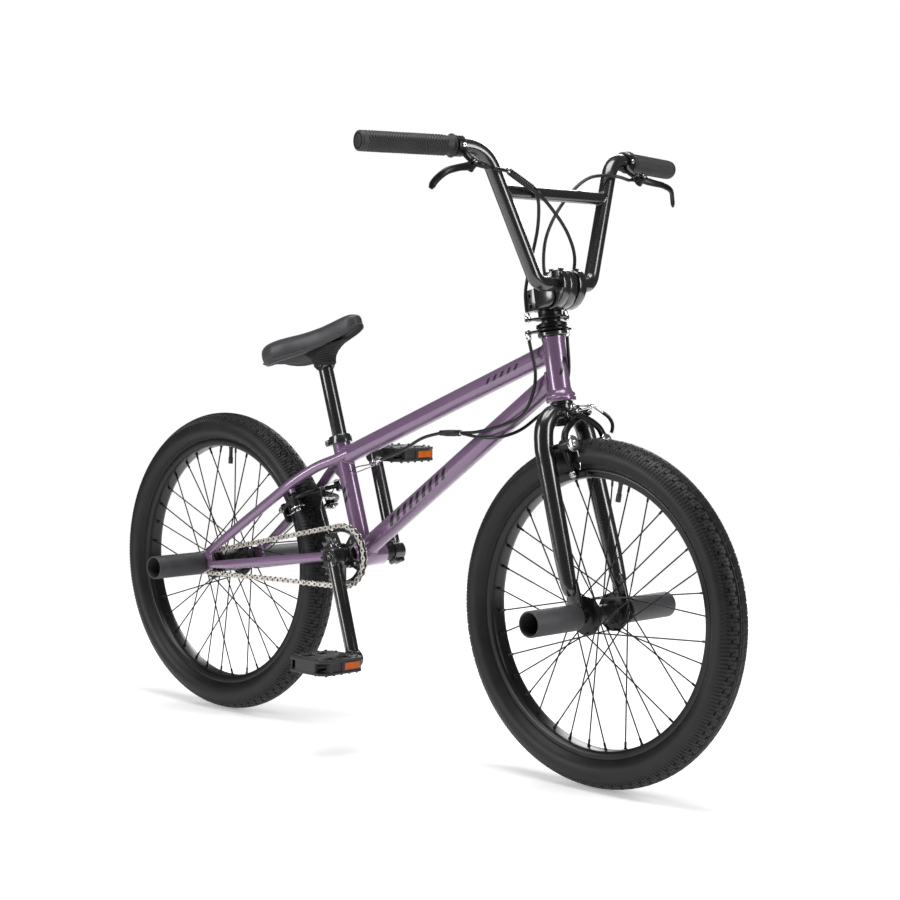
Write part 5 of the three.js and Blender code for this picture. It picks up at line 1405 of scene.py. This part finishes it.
ferrule(fittings, (-48, -3, 446.8), unit([-14, 0, -5.2]), length=6, radius=2.2)
make("lower_cable_end", fittings, "frame", CHROME)

# ---------------------------------------------------------------- studio

FLOOR_RADIUS = 2.0
FLOOR_SIDES = 120
floor_mesh = bpy.data.meshes.new("studio_floor")
floor_mesh.from_pydata([(*corner, 0) for corner in arc(0, 0, FLOOR_RADIUS, 0, 357, FLOOR_SIDES)], [],
                       [tuple(range(FLOOR_SIDES))])
floor_mesh.materials.append(surface("studio_paper", (0.86, 0.86, 0.86), 0.9, tint=0.01, tint_scale=2,
                                    rough_spread=0.02, grain_scale=300, grain_strength=0.05, specular=0.1,
                                    glow=0.3))
floor = bpy.data.objects.new("studio_floor", floor_mesh)
floor.location = (0, 0, -0.0006)
bpy.context.scene.collection.objects.link(floor)


def softbox(name, location, target, size, power):
    light = bpy.data.lights.new(name, "AREA")
    light.shape = "RECTANGLE"
    light.size, light.size_y = size
    light.energy = power
    holder = bpy.data.objects.new(name, light)
    holder.location = location
    holder.rotation_euler = (Vector(target) - Vector(location)).to_track_quat("-Z", "Y").to_euler()
    bpy.context.scene.collection.objects.link(holder)


softbox("overhead_box", (0.2, -0.3, 3.2), (0, 0, 0.4), (2.4, 1.6), 85)
softbox("left_strip", (-1.2, -3.0, 1.6), (0, 0, 0.5), (0.9, 2.2), 66)
softbox("right_strip", (3.2, 0.6, 1.5), (0.2, 0, 0.5), (0.8, 2.2), 58)
softbox("back_strip", (-1.6, 2.8, 1.9), (0, 0, 0.5), (1.4, 1.8), 45)

world = bpy.data.worlds.new("studio")
world.use_nodes = True
tree = world.node_tree
backdrop = tree.nodes["Background"]
backdrop.inputs["Color"].default_value = (1, 1, 1, 1)
# The backdrop is white behind the bike, and dimmer where it lights the bike.
seen = tree.nodes.new("ShaderNodeLightPath")
strength = tree.nodes.new("ShaderNodeMapRange")
strength.inputs["To Min"].default_value = 0.1
strength.inputs["To Max"].default_value = 1.0
tree.links.new(seen.outputs["Is Camera Ray"], strength.inputs["Value"])
tree.links.new(strength.outputs["Result"], backdrop.inputs["Strength"])
bpy.context.scene.world = world
bpy.context.scene.view_settings.view_transform = "Standard"

# ---------------------------------------------------------------- camera

AZIMUTH, ELEVATION, ROLL = rad(43.477), rad(3.887), rad(0.852)
CAMERA_AT = (2.29723, -2.30734, 0.68974)
FOCAL_LENGTH, SENSOR_WIDTH = 82.98, 36
back = Vector((math.sin(AZIMUTH) * math.cos(ELEVATION), -math.cos(AZIMUTH) * math.cos(ELEVATION),
               math.sin(ELEVATION)))
level = Vector((math.cos(AZIMUTH), math.sin(AZIMUTH), 0))
rise = back.cross(level)
right = level * math.cos(ROLL) + rise * math.sin(ROLL)
above = rise * math.cos(ROLL) - level * math.sin(ROLL)
camera = bpy.data.objects.new("camera", bpy.data.cameras.new("camera"))
camera.data.sensor_width = SENSOR_WIDTH
camera.data.lens = FOCAL_LENGTH
camera.data.clip_end = 200
camera.matrix_world = Matrix.Translation(CAMERA_AT) @ Matrix((right, above, back)).transposed().to_4x4()
bpy.context.scene.collection.objects.link(camera)
bpy.context.scene.camera = camera
